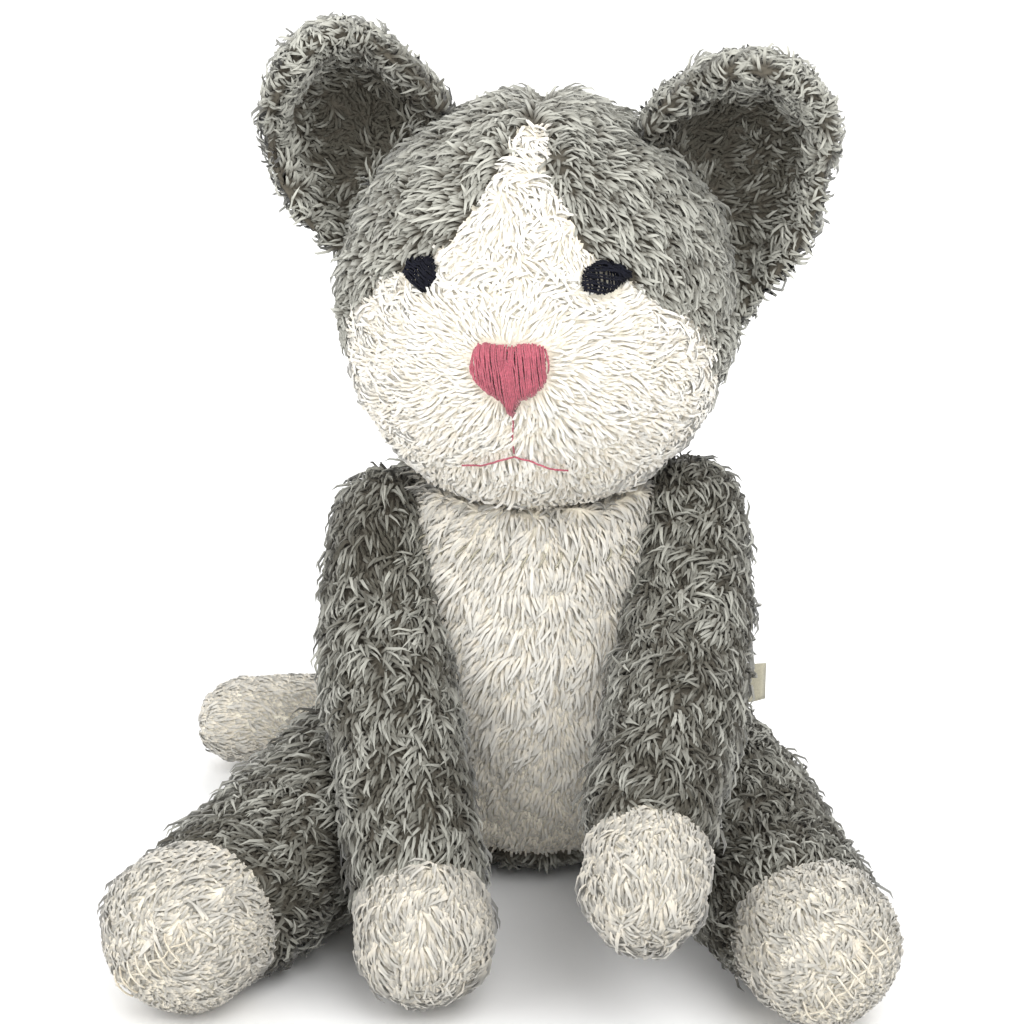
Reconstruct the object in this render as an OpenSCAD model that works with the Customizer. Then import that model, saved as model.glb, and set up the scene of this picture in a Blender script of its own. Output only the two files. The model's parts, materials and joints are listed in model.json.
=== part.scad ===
// Seated cuddly toy cat: pile cloth panels sewn round soft stuffing, with limbs, ears, tail and
// head hung on their seams. The origin is the middle of the flat seat, the cat looks along -Y,
// and its own left side is +X.

/* [Torso] */
// Height of the torso, from the seat to the neck rim
torso_h = 93; // [88:1:98]
// How far the torso's side curve is pulled out: the belly is widest at about 0.8 of this
belly_pull = 57; // [54:0.5:59]
// Radius of the flat seat
seat_r = 24; // [20:1:26]
// Radius of the torso at the neck rim
neck_r = 31; // [29:0.5:33]
// Height where the seat panel is sewn to the side panels
seat_seam_z = 9; // [7:0.5:11]

/* [Head] */
// Radius of the head, seen from above
head_r = 49.5; // [48:0.5:50.5]
// Half of the head's height
head_half_h = 53; // [51:0.5:54]
// Height of the middle of the head above the seat
head_z = 141; // [140:0.5:144]
// How far the head sits forward of the torso's axis
head_forward = 4; // [2:0.5:5]
// How far the face is turned towards the cat's right, in degrees
face_turn = 8; // [0:1:12]
// Radius of the ball of stuffing in the neck
neck_ball_r = 15; // [13:0.5:16]
// Height of the middle of the neck ball
neck_z = 98; // [97:0.5:100]
// Most that the head nods either way, in degrees
nod_max = 10; // [6:1:12]

/* [Ears] */
// Radius of an ear's outline
ear_r = 30.5; // [28:0.5:32]
// Radius of the ball that an ear is cupped to
ear_cup_r = 55; // [50:1:70]
// Thickness of each of an ear's two cloths
ear_cloth = 3; // [2:0.25:3.5]
// Gap between an ear and the head, for the ear to fold in
ear_gap = 3; // [2.5:0.25:4]

/* [Arms] */
// Length of an arm, from its shoulder pivot to the tip
arm_len = 133; // [125:1:136]
// Radius of an arm at the shoulder
arm_root_r = 14.5; // [13.5:0.25:15]
// Radius of an arm at its middle
arm_mid_r = 14.5; // [13:0.25:14.75]
// Radius of a paw
paw_r = 16.2; // [15:0.1:16.6]
// Length of the white paw
paw_len = 32; // [28:1:38]

/* [Legs] */
// Length of a leg, from its hip pivot to the sole
leg_len = 110; // [104:1:112]
// Radius of a leg at the hip
leg_root_r = 19.5; // [18:0.25:20]
// Radius of a leg at its middle
leg_mid_r = 19.5; // [18:0.25:20]
// Radius of a foot
foot_r = 19.2; // [18:0.1:19.3]
// Length of the white foot
foot_len = 29; // [26:1:36]

/* [Tail] */
// Length of the tail, from its root pivot to the tip
tail_len = 84; // [76:1:88]
// Radius of the tail at its root
tail_root_r = 11; // [10:0.25:11.5]
// Radius of the tail near its tip
tail_end_r = 12.6; // [11:0.1:12.8]
// Length of the tail's white tip
tail_tip_len = 38; // [30:1:44]

/* [Cloth and thread] */
// Thickness of the pile cloth
cloth = 3; // [2:0.25:4]
// Gap between two panels at a seam
seam_gap = 0.2; // [0.1:0.05:0.4]
// Gap between pieces that move against each other
clearance = 0.9; // [0.7:0.05:1.2]
// How far embroidery stands out of the cloth
thread_out = 0.9; // [0.6:0.1:1.2]
// Width of a sewing thread laid on the surface
thread_w = 1.1; // [0.8:0.1:1.6]

/* [Hidden] */
$fn = 48;

LEFT = 1;
RIGHT = -1;
grey = [0.56, 0.56, 0.51];
cream = [0.95, 0.93, 0.87];
rose = [0.76, 0.36, 0.42];
navy = [0.07, 0.07, 0.11];
beige = [0.76, 0.74, 0.65];
wadding = [0.92, 0.91, 0.88];

big = 200;                     // reaches past the whole toy
past_face = 60;                // reaches from a part's middle past its front
sewn_deep = 0.5;               // depth of stitches under the surface
below_floor = 5;               // how far cuts go on under the floor
inside = cloth + 0.1;          // depth of the stuffing's skin under the surface
shoulder = [36, -6, 82];       // pivots on the +X side; mirrored for the other
hip = [36, -18, 21];
tail_root = [-6, 44, 13.2];
head_c = [0, -head_forward, head_z];
neck_c = [0, -head_forward, neck_z];

// Where each limb points at rest, as the middle of its rounded end
left_paw_at = [25, -111, 37];
right_paw_at = [-26.5, -100, 18.5];
left_foot_at = [63, -102, 19.4];
right_foot_at = [-80, -99, 19.4];
tail_tip_at = [-75, 33.5, 13.2];

// Middle of each ear's outline, and which way the ear faces in degrees
left_ear_at = [42.5, -2, 173];
right_ear_at = [-38.5, 8, 180];

// ---- curves -----------------------------------------------------------------------------

function bezier(a, b, c, d, t) =
  pow(1 - t, 3) * a + 3 * t * pow(1 - t, 2) * b + 3 * t * t * (1 - t) * c + pow(t, 3) * d;
function bezier_way(a, b, c, d, t) =
  pow(1 - t, 2) * (b - a) + 2 * t * (1 - t) * (c - b) + t * t * (d - c);
function unit(v) = v / norm(v);

// The torso's side, from the rim of the seat to the neck rim, moved in by some depth
function torso_side(depth, steps = 16) = [
  for (i = [0 : steps])
    let (
      t = i / steps,
      a = [seat_r, 0], b = [belly_pull, 2], c = [45, 0.75 * torso_h], d = [neck_r, torso_h],
      way = unit(bezier_way(a, b, c, d, t)),
      p = bezier(a, b, c, d, t) - depth * [way.y, -way.x]
    )
    [p.x, max(p.y, depth)]
];

// A limb's outline from its round root to its round end, moved in by some depth
function limb_r(s, len, root, mid, end) =
  let (t = s / (len - end))
  t < 0.5
    ? root + (mid - root) * (1 - cos(360 * t)) / 2
    : mid + (end - mid) * (1 - cos(360 * (t - 0.5))) / 2;
function limb_outline(len, root, mid, end, depth) = concat(
  [for (a = [-90 : 15 : -15]) (root - depth) * [cos(a), sin(a)]],
  [for (i = [0 : 8]) let (s = i / 8 * (len - end)) [limb_r(s, len, root, mid, end) - depth, s]],
  [for (a = [12 : 13 : 90]) (end - depth) * [cos(a), sin(a)] + [0, len - end]]
);

// Distance from the neck pivot to the head's skin, a given angle away from straight down
function head_reach(angle) =
  let (
    up = head_z - neck_z,
    a = pow(sin(angle) / head_r, 2) + pow(cos(angle) / head_half_h, 2),
    b = 2 * up * cos(angle) / pow(head_half_h, 2),
    c = pow(up / head_half_h, 2) - 1
  )
  (-b + sqrt(b * b - 4 * a * c)) / (2 * a);

// A half outline given as [distance out, height], and its mirror image
function both_sides(half) =
  concat(half, [for (i = [len(half) - 1 : -1 : 0]) [-half[i].x, half[i].y]]);
function oval(w, h) = [for (a = [0 : 15 : 345]) [w / 2 * cos(a), h / 2 * sin(a)]];

// ---- plain forms, each moved in by some depth -------------------------------------------

module torso_form(depth) {
  side = torso_side(depth);
  rotate_extrude()
    polygon(concat([[0, depth]], side, [[0, torso_h]]));
}

module head_form(depth) {
  translate(head_c)
    rotate_extrude()
      polygon([for (a = [-90 : 7.5 : 90]) [(head_r - depth) * cos(a), (head_half_h - depth) * sin(a)]]);
}

module limb_form(len, root, mid, end, depth) {
  rotate_extrude()
    polygon(limb_outline(len, root, mid, end, depth));
}

// Turns a form that stands on +Z so that it runs from one point towards another
module aim(from, to) {
  d = to - from;
  translate(from)
    rotate([0, acos(d.z / norm(d)), atan2(d.y, d.x)])
      children();
}

function on_side(p, side) = [side * p.x, p.y, p.z];
function paw_at(side) = side == LEFT ? left_paw_at : right_paw_at;
function foot_at(side) = side == LEFT ? left_foot_at : right_foot_at;

module arm_form(side, depth) {
  aim(on_side(shoulder, side), paw_at(side))
    limb_form(arm_len, arm_root_r, arm_mid_r, paw_r, depth);
}

module leg_form(side, depth) {
  aim(on_side(hip, side), foot_at(side))
    limb_form(leg_len, leg_root_r, leg_mid_r, foot_r, depth);
}

module tail_form(depth) {
  aim(tail_root, tail_tip_at)
    limb_form(tail_len, tail_root_r, tail_root_r, tail_end_r, depth);
}

// ---- room for the moving pieces ---------------------------------------------------------

// The bowl that the head rolls in, for every nod and turn
module head_room() {
  translate(neck_c)
    rotate_extrude()
      polygon(concat(
        [[0, 20]],
        [for (a = [0 : 6 : 102]) (head_reach(a + nod_max) + clearance) * [sin(a), -cos(a)]],
        [[70, 12], [70, 20]]
      ));
  translate(neck_c)
    sphere(neck_ball_r + clearance);
}

// A leg swings from lying forward to hanging down: round at the back, open in front and below
module leg_room(side) {
  r = leg_root_r + clearance;
  near = hip.x - r;
  reach = 60;
  translate([side == LEFT ? near : -near - reach, 0, 0])
    rotate([90, 0, 90])
      linear_extrude(reach)
        polygon(concat(
          [for (a = [0 : 10 : 90]) [hip.y + r * cos(a), hip.z + r * sin(a)]],
          [[hip.y - reach, hip.z + r], [hip.y - reach, -below_floor], [hip.y + r, -below_floor]]
        ));
}

module all_room() {
  head_room();
  for (side = [LEFT, RIGHT]) {
    arm_form(side, -clearance);
    leg_room(side);
  }
  tail_form(-clearance);
}

// ---- torso ------------------------------------------------------------------------------

// The white front is cut by this outline, seen from the front
bib_half = [[31, 100], [32, 84], [34, 62], [29, 38], [20, 19], [18, 0]];
module bib_cut(grow) {
  rotate([90, 0, 0])
    linear_extrude(past_face)
      offset_outline(bib_half, grow);
}
module offset_outline(half, grow) {
  polygon(both_sides([for (p = half) [p.x + grow, p.y - grow]]));
}

module torso_cloth() {
  difference() {
    torso_form(0);
    torso_form(cloth);
    all_room();
  }
}

module torso_back(side) {
  color(grey)
    difference() {
      torso_cloth();
      bib_cut(seam_gap / 2);
      translate([-big / 2, -big / 2, -big + seat_seam_z + seam_gap / 2])
        cube(big);
      translate([side == LEFT ? seam_gap / 2 - big : -seam_gap / 2, -big / 2, -big / 2])
        cube(big);
    }
}

module torso_bib() {
  color(cream)
    intersection() {
      torso_cloth();
      bib_cut(-seam_gap / 2);
      translate([-big / 2, -big, seat_seam_z + seam_gap / 2])
        cube(big);
    }
}

module torso_seat_panel() {
  color(grey)
    intersection() {
      torso_cloth();
      translate([-big / 2, -big / 2, -big + seat_seam_z - seam_gap / 2])
        cube(big);
    }
}

module torso_stuffing() {
  color(wadding)
    difference() {
      torso_form(inside);
      all_room();
    }
}

// Ladder stitch thread round the neck, just under the rim
module neck_seam_thread() {
  thread_down = 9;
  thread_off = 5.9;
  color(beige)
    difference() {
      translate([0, 0, torso_h - thread_down])
        rotate_extrude()
          translate([neck_r + thread_off, 0])
            circle(r = thread_w, $fn = 16);
      all_room();
    }
}

module care_label() {
  label_w = 9;
  label_out = 13;
  label_t = 1;
  label_at = [42.5, 8, 29];
  color(beige)
    translate(label_at)
      cube([label_out, label_t, label_w]);
}

// ---- head -------------------------------------------------------------------------------

// Outlines on the face, in the face's own frame with the head's middle at 0
mask_half = [
  [1.5, 60], [1.5, 49.5], [5, 42.5], [9, 35], [13, 28], [18.5, 23], [26, 17], [33.5, 12], [40, 6],
  [42.5, -1], [43.5, -8], [46, -20], [46, -60]
];
nose_half = [[0, 3.4], [6, 4.2], [9, 2.4], [9, -1], [6.5, -4.5], [3, -8.5], [1.2, -10.6]];
eye_out = 22;
eye_up = 20;
eye_size = [9.5, 7.2];

module on_face() {
  translate(head_c)
    rotate([0, 0, -face_turn])
      rotate([90, 0, 0])
        linear_extrude(past_face)
          children();
}

module head_cloth() {
  difference() {
    head_form(0);
    head_form(cloth);
    translate(neck_c)
      sphere(neck_ball_r + clearance);
  }
}

module face_panel() {
  color(cream)
    intersection() {
      head_cloth();
      on_face()
        offset_outline(mask_half, -seam_gap / 2);
    }
}

module crown(side) {
  color(grey)
    difference() {
      head_cloth();
      on_face()
        offset_outline(mask_half, seam_gap / 2);
      translate(head_c)
        rotate([0, 0, -face_turn])
          translate([side == LEFT ? seam_gap / 2 - big : -seam_gap / 2, -big / 2, -big / 2])
            cube(big);
    }
}

module head_stuffing() {
  color(wadding)
    difference() {
      head_form(inside);
      translate(neck_c)
        sphere(neck_ball_r + clearance);
    }
}

module neck_stuffing() {
  color(wadding)
    translate(neck_c)
      sphere(neck_ball_r);
}

// Embroidery: a flat outline laid on the curved face
module embroidery() {
  intersection() {
    difference() {
      head_form(-thread_out);
      head_form(sewn_deep);
    }
    on_face()
      children();
  }
}

module eye(side) {
  color(navy)
    embroidery()
      translate([side * eye_out, eye_up])
        polygon(oval(eye_size.x, eye_size.y));
}

module nose_embroidery() {
  color(rose)
    embroidery()
      polygon(both_sides(nose_half));
}

// A straight run of thread between two points of an outline
module thread_run(a, b) {
  d = b - a;
  translate(a)
    rotate(atan2(d.y, d.x))
      translate([0, -thread_w / 2])
        square([norm(d), thread_w]);
}

module mouth_thread() {
  lip = [0, -24];
  color(rose)
    embroidery()
      union() {
        thread_run([0, -11.5], lip);
        for (side = [LEFT, RIGHT])
          thread_run(lip, [side * 12.5, -27.8]);
      }
}

// ---- ears -------------------------------------------------------------------------------

// One cloth of an ear: a cup between two depths behind its hollow, trimmed clear of the head
module ear_layer(at, from, to) {
  rim_ahead = 20;
  difference() {
    translate(at)
      rotate([0, 0, -face_turn])
        intersection() {
          translate([0, -ear_cup_r, 0])
            difference() {
              sphere(ear_cup_r + to);
              sphere(ear_cup_r + from);
            }
          rotate([90, 0, 0])
            cylinder(r = ear_r, h = past_face, center = true);
          translate([-big / 2, rim_ahead - past_face, -big / 2])
            cube([big, past_face, big]);
        }
    head_form(-ear_gap);
  }
}

module ear_back(at) {
  color(grey)
    ear_layer(at, ear_cloth + 0.1, 2 * ear_cloth);
}

module ear_lining(at) {
  color(grey)
    ear_layer(at, 0, ear_cloth);
}

// ---- limbs ------------------------------------------------------------------------------

// Keeps the part of a limb before or after the seam of its white end
module before_seam(from, to, seam) {
  intersection() {
    children();
    aim(from, to)
      translate([-big / 2, -big / 2, seam - seam_gap / 2 - big])
        cube(big);
  }
}

module after_seam(from, to, seam) {
  intersection() {
    children();
    aim(from, to)
      translate([-big / 2, -big / 2, seam + seam_gap / 2])
        cube(big);
  }
}

module arm_sleeve(side) {
  color(grey)
    before_seam(on_side(shoulder, side), paw_at(side), arm_len - paw_len)
      difference() {
        arm_form(side, 0);
        arm_form(side, cloth);
      }
}

module paw(side) {
  color(cream)
    after_seam(on_side(shoulder, side), paw_at(side), arm_len - paw_len)
      difference() {
        arm_form(side, 0);
        arm_form(side, cloth);
      }
}

module arm_stuffing(side) {
  color(wadding)
    arm_form(side, inside);
}

module leg_sleeve(side) {
  color(grey)
    before_seam(on_side(hip, side), foot_at(side), leg_len - foot_len)
      difference() {
        leg_form(side, 0);
        leg_form(side, cloth);
      }
}

module foot(side) {
  color(cream)
    after_seam(on_side(hip, side), foot_at(side), leg_len - foot_len)
      difference() {
        leg_form(side, 0);
        leg_form(side, cloth);
      }
}

module leg_stuffing(side) {
  color(wadding)
    leg_form(side, inside);
}

// The gathered closing seam on a sole: one long thread with short ones across it
module sole_thread(side) {
  seam_half = 10;
  stitch_half = 3;
  stitch_step = 3.5;
  seam_turn = 45;
  color(beige)
    intersection() {
      difference() {
        leg_form(side, -thread_out);
        leg_form(side, sewn_deep);
      }
      aim(on_side(hip, side), foot_at(side))
        rotate(seam_turn)
          translate([0, 0, leg_len - foot_r])
            linear_extrude(foot_r + below_floor)
              union() {
                square([2 * seam_half, thread_w], center = true);
                for (x = [-seam_half + stitch_half : stitch_step : seam_half - stitch_half])
                  translate([x, 0])
                    square([thread_w, 2 * stitch_half], center = true);
              }
    }
}

// ---- tail -------------------------------------------------------------------------------

module tail_cloth() {
  difference() {
    tail_form(0);
    tail_form(cloth);
  }
}

module tail_sleeve() {
  color(grey)
    before_seam(tail_root, tail_tip_at, tail_len - tail_tip_len)
      tail_cloth();
}

module tail_tip() {
  color(cream)
    after_seam(tail_root, tail_tip_at, tail_len - tail_tip_len)
      tail_cloth();
}

module tail_stuffing() {
  color(wadding)
    tail_form(inside);
}

// ---- nodes ------------------------------------------------------------------------------

torso_back(LEFT);  // torso_back_left
torso_back(RIGHT);  // torso_back_right
torso_bib();
torso_seat_panel();
torso_stuffing();
neck_seam_thread();
care_label();
neck_stuffing();
face_panel();
crown(LEFT);  // crown_left
crown(RIGHT);  // crown_right
head_stuffing();
eye(LEFT);  // left_eye
eye(RIGHT);  // right_eye
nose_embroidery();
mouth_thread();
ear_back(left_ear_at);  // left_ear_back
ear_lining(left_ear_at);  // left_ear_lining
ear_back(right_ear_at);  // right_ear_back
ear_lining(right_ear_at);  // right_ear_lining
arm_sleeve(LEFT);  // left_arm_sleeve
paw(LEFT);  // left_paw
arm_stuffing(LEFT);  // left_arm_stuffing
arm_sleeve(RIGHT);  // right_arm_sleeve
paw(RIGHT);  // right_paw
arm_stuffing(RIGHT);  // right_arm_stuffing
leg_sleeve(LEFT);  // left_leg_sleeve
foot(LEFT);  // left_foot
leg_stuffing(LEFT);  // left_leg_stuffing
sole_thread(LEFT);  // left_sole_thread
leg_sleeve(RIGHT);  // right_leg_sleeve
foot(RIGHT);  // right_foot
leg_stuffing(RIGHT);  // right_leg_stuffing
sole_thread(RIGHT);  // right_sole_thread
tail_sleeve();
tail_tip();
tail_stuffing();
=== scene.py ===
"""Looks of a seated cuddly toy cat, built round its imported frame.

Every limb gets a sewn cover that is filled out by a short cloth simulation. Geometry Nodes then plant
the pile on each cloth panel, lock by lock, and lay the sewing and embroidery threads. The cat sits on
z = 0, looks along -Y, and its own left side is +X. Shapes are worked out in millimetres and stored in
metres.
"""

import json
import math

import bmesh
import bpy
import numpy as np
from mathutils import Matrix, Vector
from mathutils.bvhtree import BVHTree

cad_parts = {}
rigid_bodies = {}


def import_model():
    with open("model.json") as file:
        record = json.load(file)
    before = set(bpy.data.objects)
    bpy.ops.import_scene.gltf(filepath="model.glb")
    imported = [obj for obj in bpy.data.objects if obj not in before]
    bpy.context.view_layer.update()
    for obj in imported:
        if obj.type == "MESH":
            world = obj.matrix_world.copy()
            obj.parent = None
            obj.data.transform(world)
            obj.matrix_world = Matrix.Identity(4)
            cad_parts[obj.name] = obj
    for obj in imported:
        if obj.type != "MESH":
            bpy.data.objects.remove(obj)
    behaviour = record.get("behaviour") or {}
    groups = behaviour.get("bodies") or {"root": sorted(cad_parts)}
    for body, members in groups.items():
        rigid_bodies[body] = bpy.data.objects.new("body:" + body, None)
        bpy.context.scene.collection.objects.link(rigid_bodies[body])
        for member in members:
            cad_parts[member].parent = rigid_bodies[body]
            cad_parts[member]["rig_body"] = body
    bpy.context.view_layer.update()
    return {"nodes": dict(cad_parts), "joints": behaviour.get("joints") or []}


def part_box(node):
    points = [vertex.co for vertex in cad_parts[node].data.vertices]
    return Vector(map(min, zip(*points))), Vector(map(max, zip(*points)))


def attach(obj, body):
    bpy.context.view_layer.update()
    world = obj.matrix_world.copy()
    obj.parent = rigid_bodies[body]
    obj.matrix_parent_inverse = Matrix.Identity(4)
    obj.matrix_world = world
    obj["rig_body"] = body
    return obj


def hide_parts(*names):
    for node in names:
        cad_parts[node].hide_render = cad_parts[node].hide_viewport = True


bl_info = {
    "name": "Cuddly Cat Looks",
    "version": (1, 0, 0),
    "blender": (4, 5, 0),
    "location": "3D View > Sidebar > Cuddly Cat",
    "description": "Sewn covers, curly pile and embroidery for a seated cuddly toy cat",
    "category": "Object",
}

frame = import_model()
MM = 0.001
LEFT, RIGHT = 1, -1

# ---- places taken from the frame -------------------------------------------------------------


def joint_at(name):
    return 1000 * np.array(next(j["pos_m"] for j in frame["joints"] if j["name"] == name))


def box_mm(node):
    lo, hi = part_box(node)
    return 1000 * np.array(lo), 1000 * np.array(hi)


HEAD_C = np.array([0.0, -4.0, 141.0])
HEAD_R = np.array([49.5, 49.5, 53.0])
FACE_TURN = math.radians(8)
NAMES = {LEFT: "left", RIGHT: "right"}
SHOULDER = {s: joint_at(f"{NAMES[s]}_arm_raise") for s in NAMES}
HIP = {s: joint_at(f"{NAMES[s]}_leg_swing") for s in NAMES}
TAIL_ROOT = joint_at("tail_swing")
PAW_AT = {LEFT: np.array([25.0, -111, 37]), RIGHT: np.array([-26.5, -100, 18.5])}
FOOT_AT = {LEFT: np.array([63.0, -102, 19.4]), RIGHT: np.array([-80.0, -99, 19.4])}
TAIL_TIP_AT = np.array([-75.0, 33.5, 13.2])
ARM_LEN, PAW_LEN = 133.0, 32.0
LEG_LEN, FOOT_LEN = 110.0, 29.0
TAIL_LEN, TIP_LEN = 84.0, 38.0
SEAT_SEAM = 9.0

# Outlines on the cloth: half widths against height on the torso, half outlines on the face
BIB = np.array([[18, 0], [20, 19], [29, 38], [34, 62], [32, 84], [31, 100]], float)
MASK = np.array(
    [[1.5, 60], [1.5, 49.5], [5, 42.5], [9, 35], [13, 28], [18.5, 23], [26, 17], [33.5, 12],
     [40, 6], [42.5, -1], [43.5, -8], [46, -20], [46, -60]], float)
NOSE = np.array(
    [[0, 4.8], [4, 5.2], [7.2, 4.9], [8.5, 3.2], [8.7, -1.6], [7.6, -5.0], [5.0, -7.3], [2.5, -8.6], [1.3,
    -9.8],
     [0.8, -12.4]], float)
EYES = {LEFT: (20.4, 18.9, 5.2, 3.3), RIGHT: (-22.0, 18.0, 4.2, 3.6)}

# Ear outlines, seen from the front, with the pile taken off; the last points lie inside the head
EARS = {
    LEFT: np.array(
        [[26, 189], [32, 196], [40, 201], [48, 203.6], [56, 203.2], [63, 199.5], [68, 193], [70, 184.5],
         [69.2, 175.5], [66, 162], [61.6, 154], [56.8, 147.5], [51.5, 139.5], [47.5, 133.5], [43, 137], [42,
         148],
         [38, 162], [31, 175], [23, 184]], float),
    RIGHT: np.array(
        [[-24, 191], [-33, 200.5], [-41, 206.5], [-49, 208.4], [-56.5, 204.5], [-62, 197], [-64.8, 188.5],
         [-65, 180], [-64.2, 173], [-60.8, 165], [-55.5, 157.5], [-50, 150.5], [-45, 147], [-41, 153],
         [-39, 163], [-33, 173], [-26, 181], [-20, 186.5]], float),
}
EAR_Y = {LEFT: 1.0, RIGHT: 9.0}


# ---- properties ------------------------------------------------------------------------------


class ClothProperties(bpy.types.PropertyGroup):
    """How the covers are cut and stuffed"""

    grid: bpy.props.FloatProperty(
        name="Cloth grid", description="Size of a cell of the cover's cloth", default=0.0036,
        min=0.002, max=0.006, subtype="DISTANCE", unit="LENGTH")
    pressure: bpy.props.FloatProperty(
        name="Stuffing pressure", description="How hard the stuffing pushes on the cloth", default=4.0,
        min=0.0, max=10.0)
    swell: bpy.props.FloatProperty(
        name="Most swell", description="Farthest that stuffing moves the cloth", default=0.0016,
        min=0.0, max=0.01, subtype="DISTANCE", unit="LENGTH")
    seam_depth: bpy.props.FloatProperty(
        name="Seam depth", description="How far a seam pulls the cloth in", default=0.0014,
        min=0.0, max=0.004, subtype="DISTANCE", unit="LENGTH")


class PileProperties(bpy.types.PropertyGroup):
    """The pile on the cloth"""

    spacing: bpy.props.FloatProperty(
        name="Spacing", description="Least distance between two locks", default=0.00081,
        min=0.0006, max=0.004, subtype="DISTANCE", unit="LENGTH")
    grey_length: bpy.props.FloatProperty(
        name="Grey length", description="Length of a grey lock", default=0.0060,
        min=0.002, max=0.012, subtype="DISTANCE", unit="LENGTH")
    cream_length: bpy.props.FloatProperty(
        name="Cream length", description="Length of a cream lock", default=0.0060,
        min=0.002, max=0.012, subtype="DISTANCE", unit="LENGTH")
    lock_width: bpy.props.FloatProperty(
        name="Lock width", description="Width of a lock at its widest", default=0.00086,
        min=0.0004, max=0.003, subtype="DISTANCE", unit="LENGTH")
    seed: bpy.props.IntProperty(
        name="Seed", description="Picks another arrangement of the locks", default=7, min=0)


class ColourProperties(bpy.types.PropertyGroup):
    """Colours of the cloth and thread"""

    grey: bpy.props.FloatVectorProperty(
        name="Grey pile", description="Colour of the grey pile at its tips", size=3,
        default=(0.392, 0.390, 0.345), min=0, max=1, subtype="COLOR")
    # Painted shade: the dark colour between the grey locks, also used for the grey backing cloth, stands for
    # the shadow between the locks.
    grey_root_shade: bpy.props.FloatVectorProperty(
        name="Grey backing", description="Colour between the grey locks", size=3,
        default=(0.09, 0.08, 0.062), min=0, max=1, subtype="COLOR")
    cream: bpy.props.FloatVectorProperty(
        name="Cream pile", description="Colour of the cream pile at its tips", size=3,
        default=(0.865, 0.845, 0.785), min=0, max=1, subtype="COLOR")
    # Painted shade: the warm colour between the cream locks, also used for the cream backing cloth, stands
    # for the shade between the locks.
    cream_root_shade: bpy.props.FloatVectorProperty(
        name="Cream backing", description="Colour between the cream locks", size=3,
        default=(0.87, 0.80, 0.67), min=0, max=1, subtype="COLOR")
    rose: bpy.props.FloatVectorProperty(
        name="Rose thread", description="Colour of the nose and mouth", size=3,
        default=(0.47, 0.11, 0.15), min=0, max=1, subtype="COLOR")
    navy: bpy.props.FloatVectorProperty(
        name="Eye thread", description="Colour of the eyes", size=3,
        default=(0.003, 0.0035, 0.008), min=0, max=1, subtype="COLOR")
    beige: bpy.props.FloatVectorProperty(
        name="Label cloth", description="Colour of the label and seam thread", size=3,
        default=(0.50, 0.47, 0.36), min=0, max=1, subtype="COLOR")


class StageProperties(bpy.types.PropertyGroup):
    """Floor, lights and camera"""

    aim: bpy.props.FloatVectorProperty(
        name="Aim", description="Point that the camera looks at", size=3,
        default=(-0.00625, 0.0, 0.085), subtype="XYZ", unit="LENGTH")
    distance: bpy.props.FloatProperty(
        name="Distance", description="From the camera to its aim", default=0.9, min=0.3, max=5,
        subtype="DISTANCE", unit="LENGTH")
    height: bpy.props.FloatProperty(
        name="Height angle", description="Angle of the camera above the floor",
        default=math.radians(21), min=0, max=1.5, subtype="ANGLE", unit="ROTATION")
    span: bpy.props.FloatProperty(
        name="Span", description="Width of the view at the aim", default=0.256, min=0.05, max=2,
        subtype="DISTANCE", unit="LENGTH")


# ---- numbers and outlines --------------------------------------------------------------------


def both_sides(half):
    """A closed outline from its half on the positive side."""
    return np.concatenate([half, (half * [-1, 1])[::-1]])


def inside_by(points, outline):
    """How far each 2-D point lies inside a closed outline; negative outside."""
    best = np.full(len(points), 1e9)
    odd = np.zeros(len(points), bool)
    for a, b in zip(outline, np.roll(outline, -1, axis=0)):
        d = b - a
        long = float(d @ d)
        if long < 1e-9:
            continue
        t = np.clip(((points - a) @ d) / long, 0, 1)
        best = np.minimum(best, np.linalg.norm(points - a - t[:, None] * d, axis=1))
        if abs(d[1]) > 1e-12:
            crosses = (a[1] > points[:, 1]) != (b[1] > points[:, 1])
            odd ^= crosses & (points[:, 0] < a[0] + d[0] * (points[:, 1] - a[1]) / d[1])
    return np.where(odd, best, -best)


def rounded(outline, passes=2):
    """A closed outline with its corners cut, pass by pass."""
    for _ in range(passes):
        after = np.roll(outline, -1, axis=0)
        outline = np.stack([0.75 * outline + 0.25 * after, 0.25 * outline + 0.75 * after], 1).reshape(-1, 2)
    return outline


def smooth_rows(s, rows, spread=4.0):
    """Values at s from rows of (place, value...), with the kinks between rows worn smooth."""
    rows = np.array(rows, float)
    grid = np.arange(rows[0, 0] - 20, rows[-1, 0] + 20, 0.5)
    kernel = np.exp(-0.5 * (np.arange(-3 * spread, 3 * spread + 0.5, 0.5) / spread) ** 2)
    out = []
    for column in rows.T[1:]:
        line = np.interp(grid, rows[:, 0], column)
        pad = len(kernel) // 2
        line = np.convolve(np.pad(line, pad, mode="edge"), kernel / kernel.sum(), mode="same")[pad:-pad]
        out.append(np.interp(s, grid, line))
    return np.array(out)


def waves(points, size, seed):
    """A smooth random height for each point, between about -1 and 1, with features of one size."""
    rng = np.random.default_rng(seed)
    out = np.zeros(len(points))
    for _ in range(14):
        way = rng.normal(size=3)
        way *= rng.uniform(0.6, 1.4) / np.linalg.norm(way)
        out += np.sin(points @ way * 2 * math.pi / size + rng.uniform(0, 2 * math.pi))
    return out / 4.2


def unit(v):
    v = np.asarray(v, float)
    return v / np.maximum(np.linalg.norm(v, axis=-1, keepdims=True), 1e-9)


def ease(low, high, x):
    t = np.clip((x - low) / (high - low), 0, 1)
    return t * t * (3 - 2 * t)


# ---- meshes ----------------------------------------------------------------------------------


def new_object(name, points_mm, faces, edges=()):
    mesh = bpy.data.meshes.new(name)
    mesh.from_pydata((np.asarray(points_mm) * MM).tolist(), list(edges), list(faces))
    mesh.update()
    obj = bpy.data.objects.new(name, mesh)
    bpy.context.scene.collection.objects.link(obj)
    return obj


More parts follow.
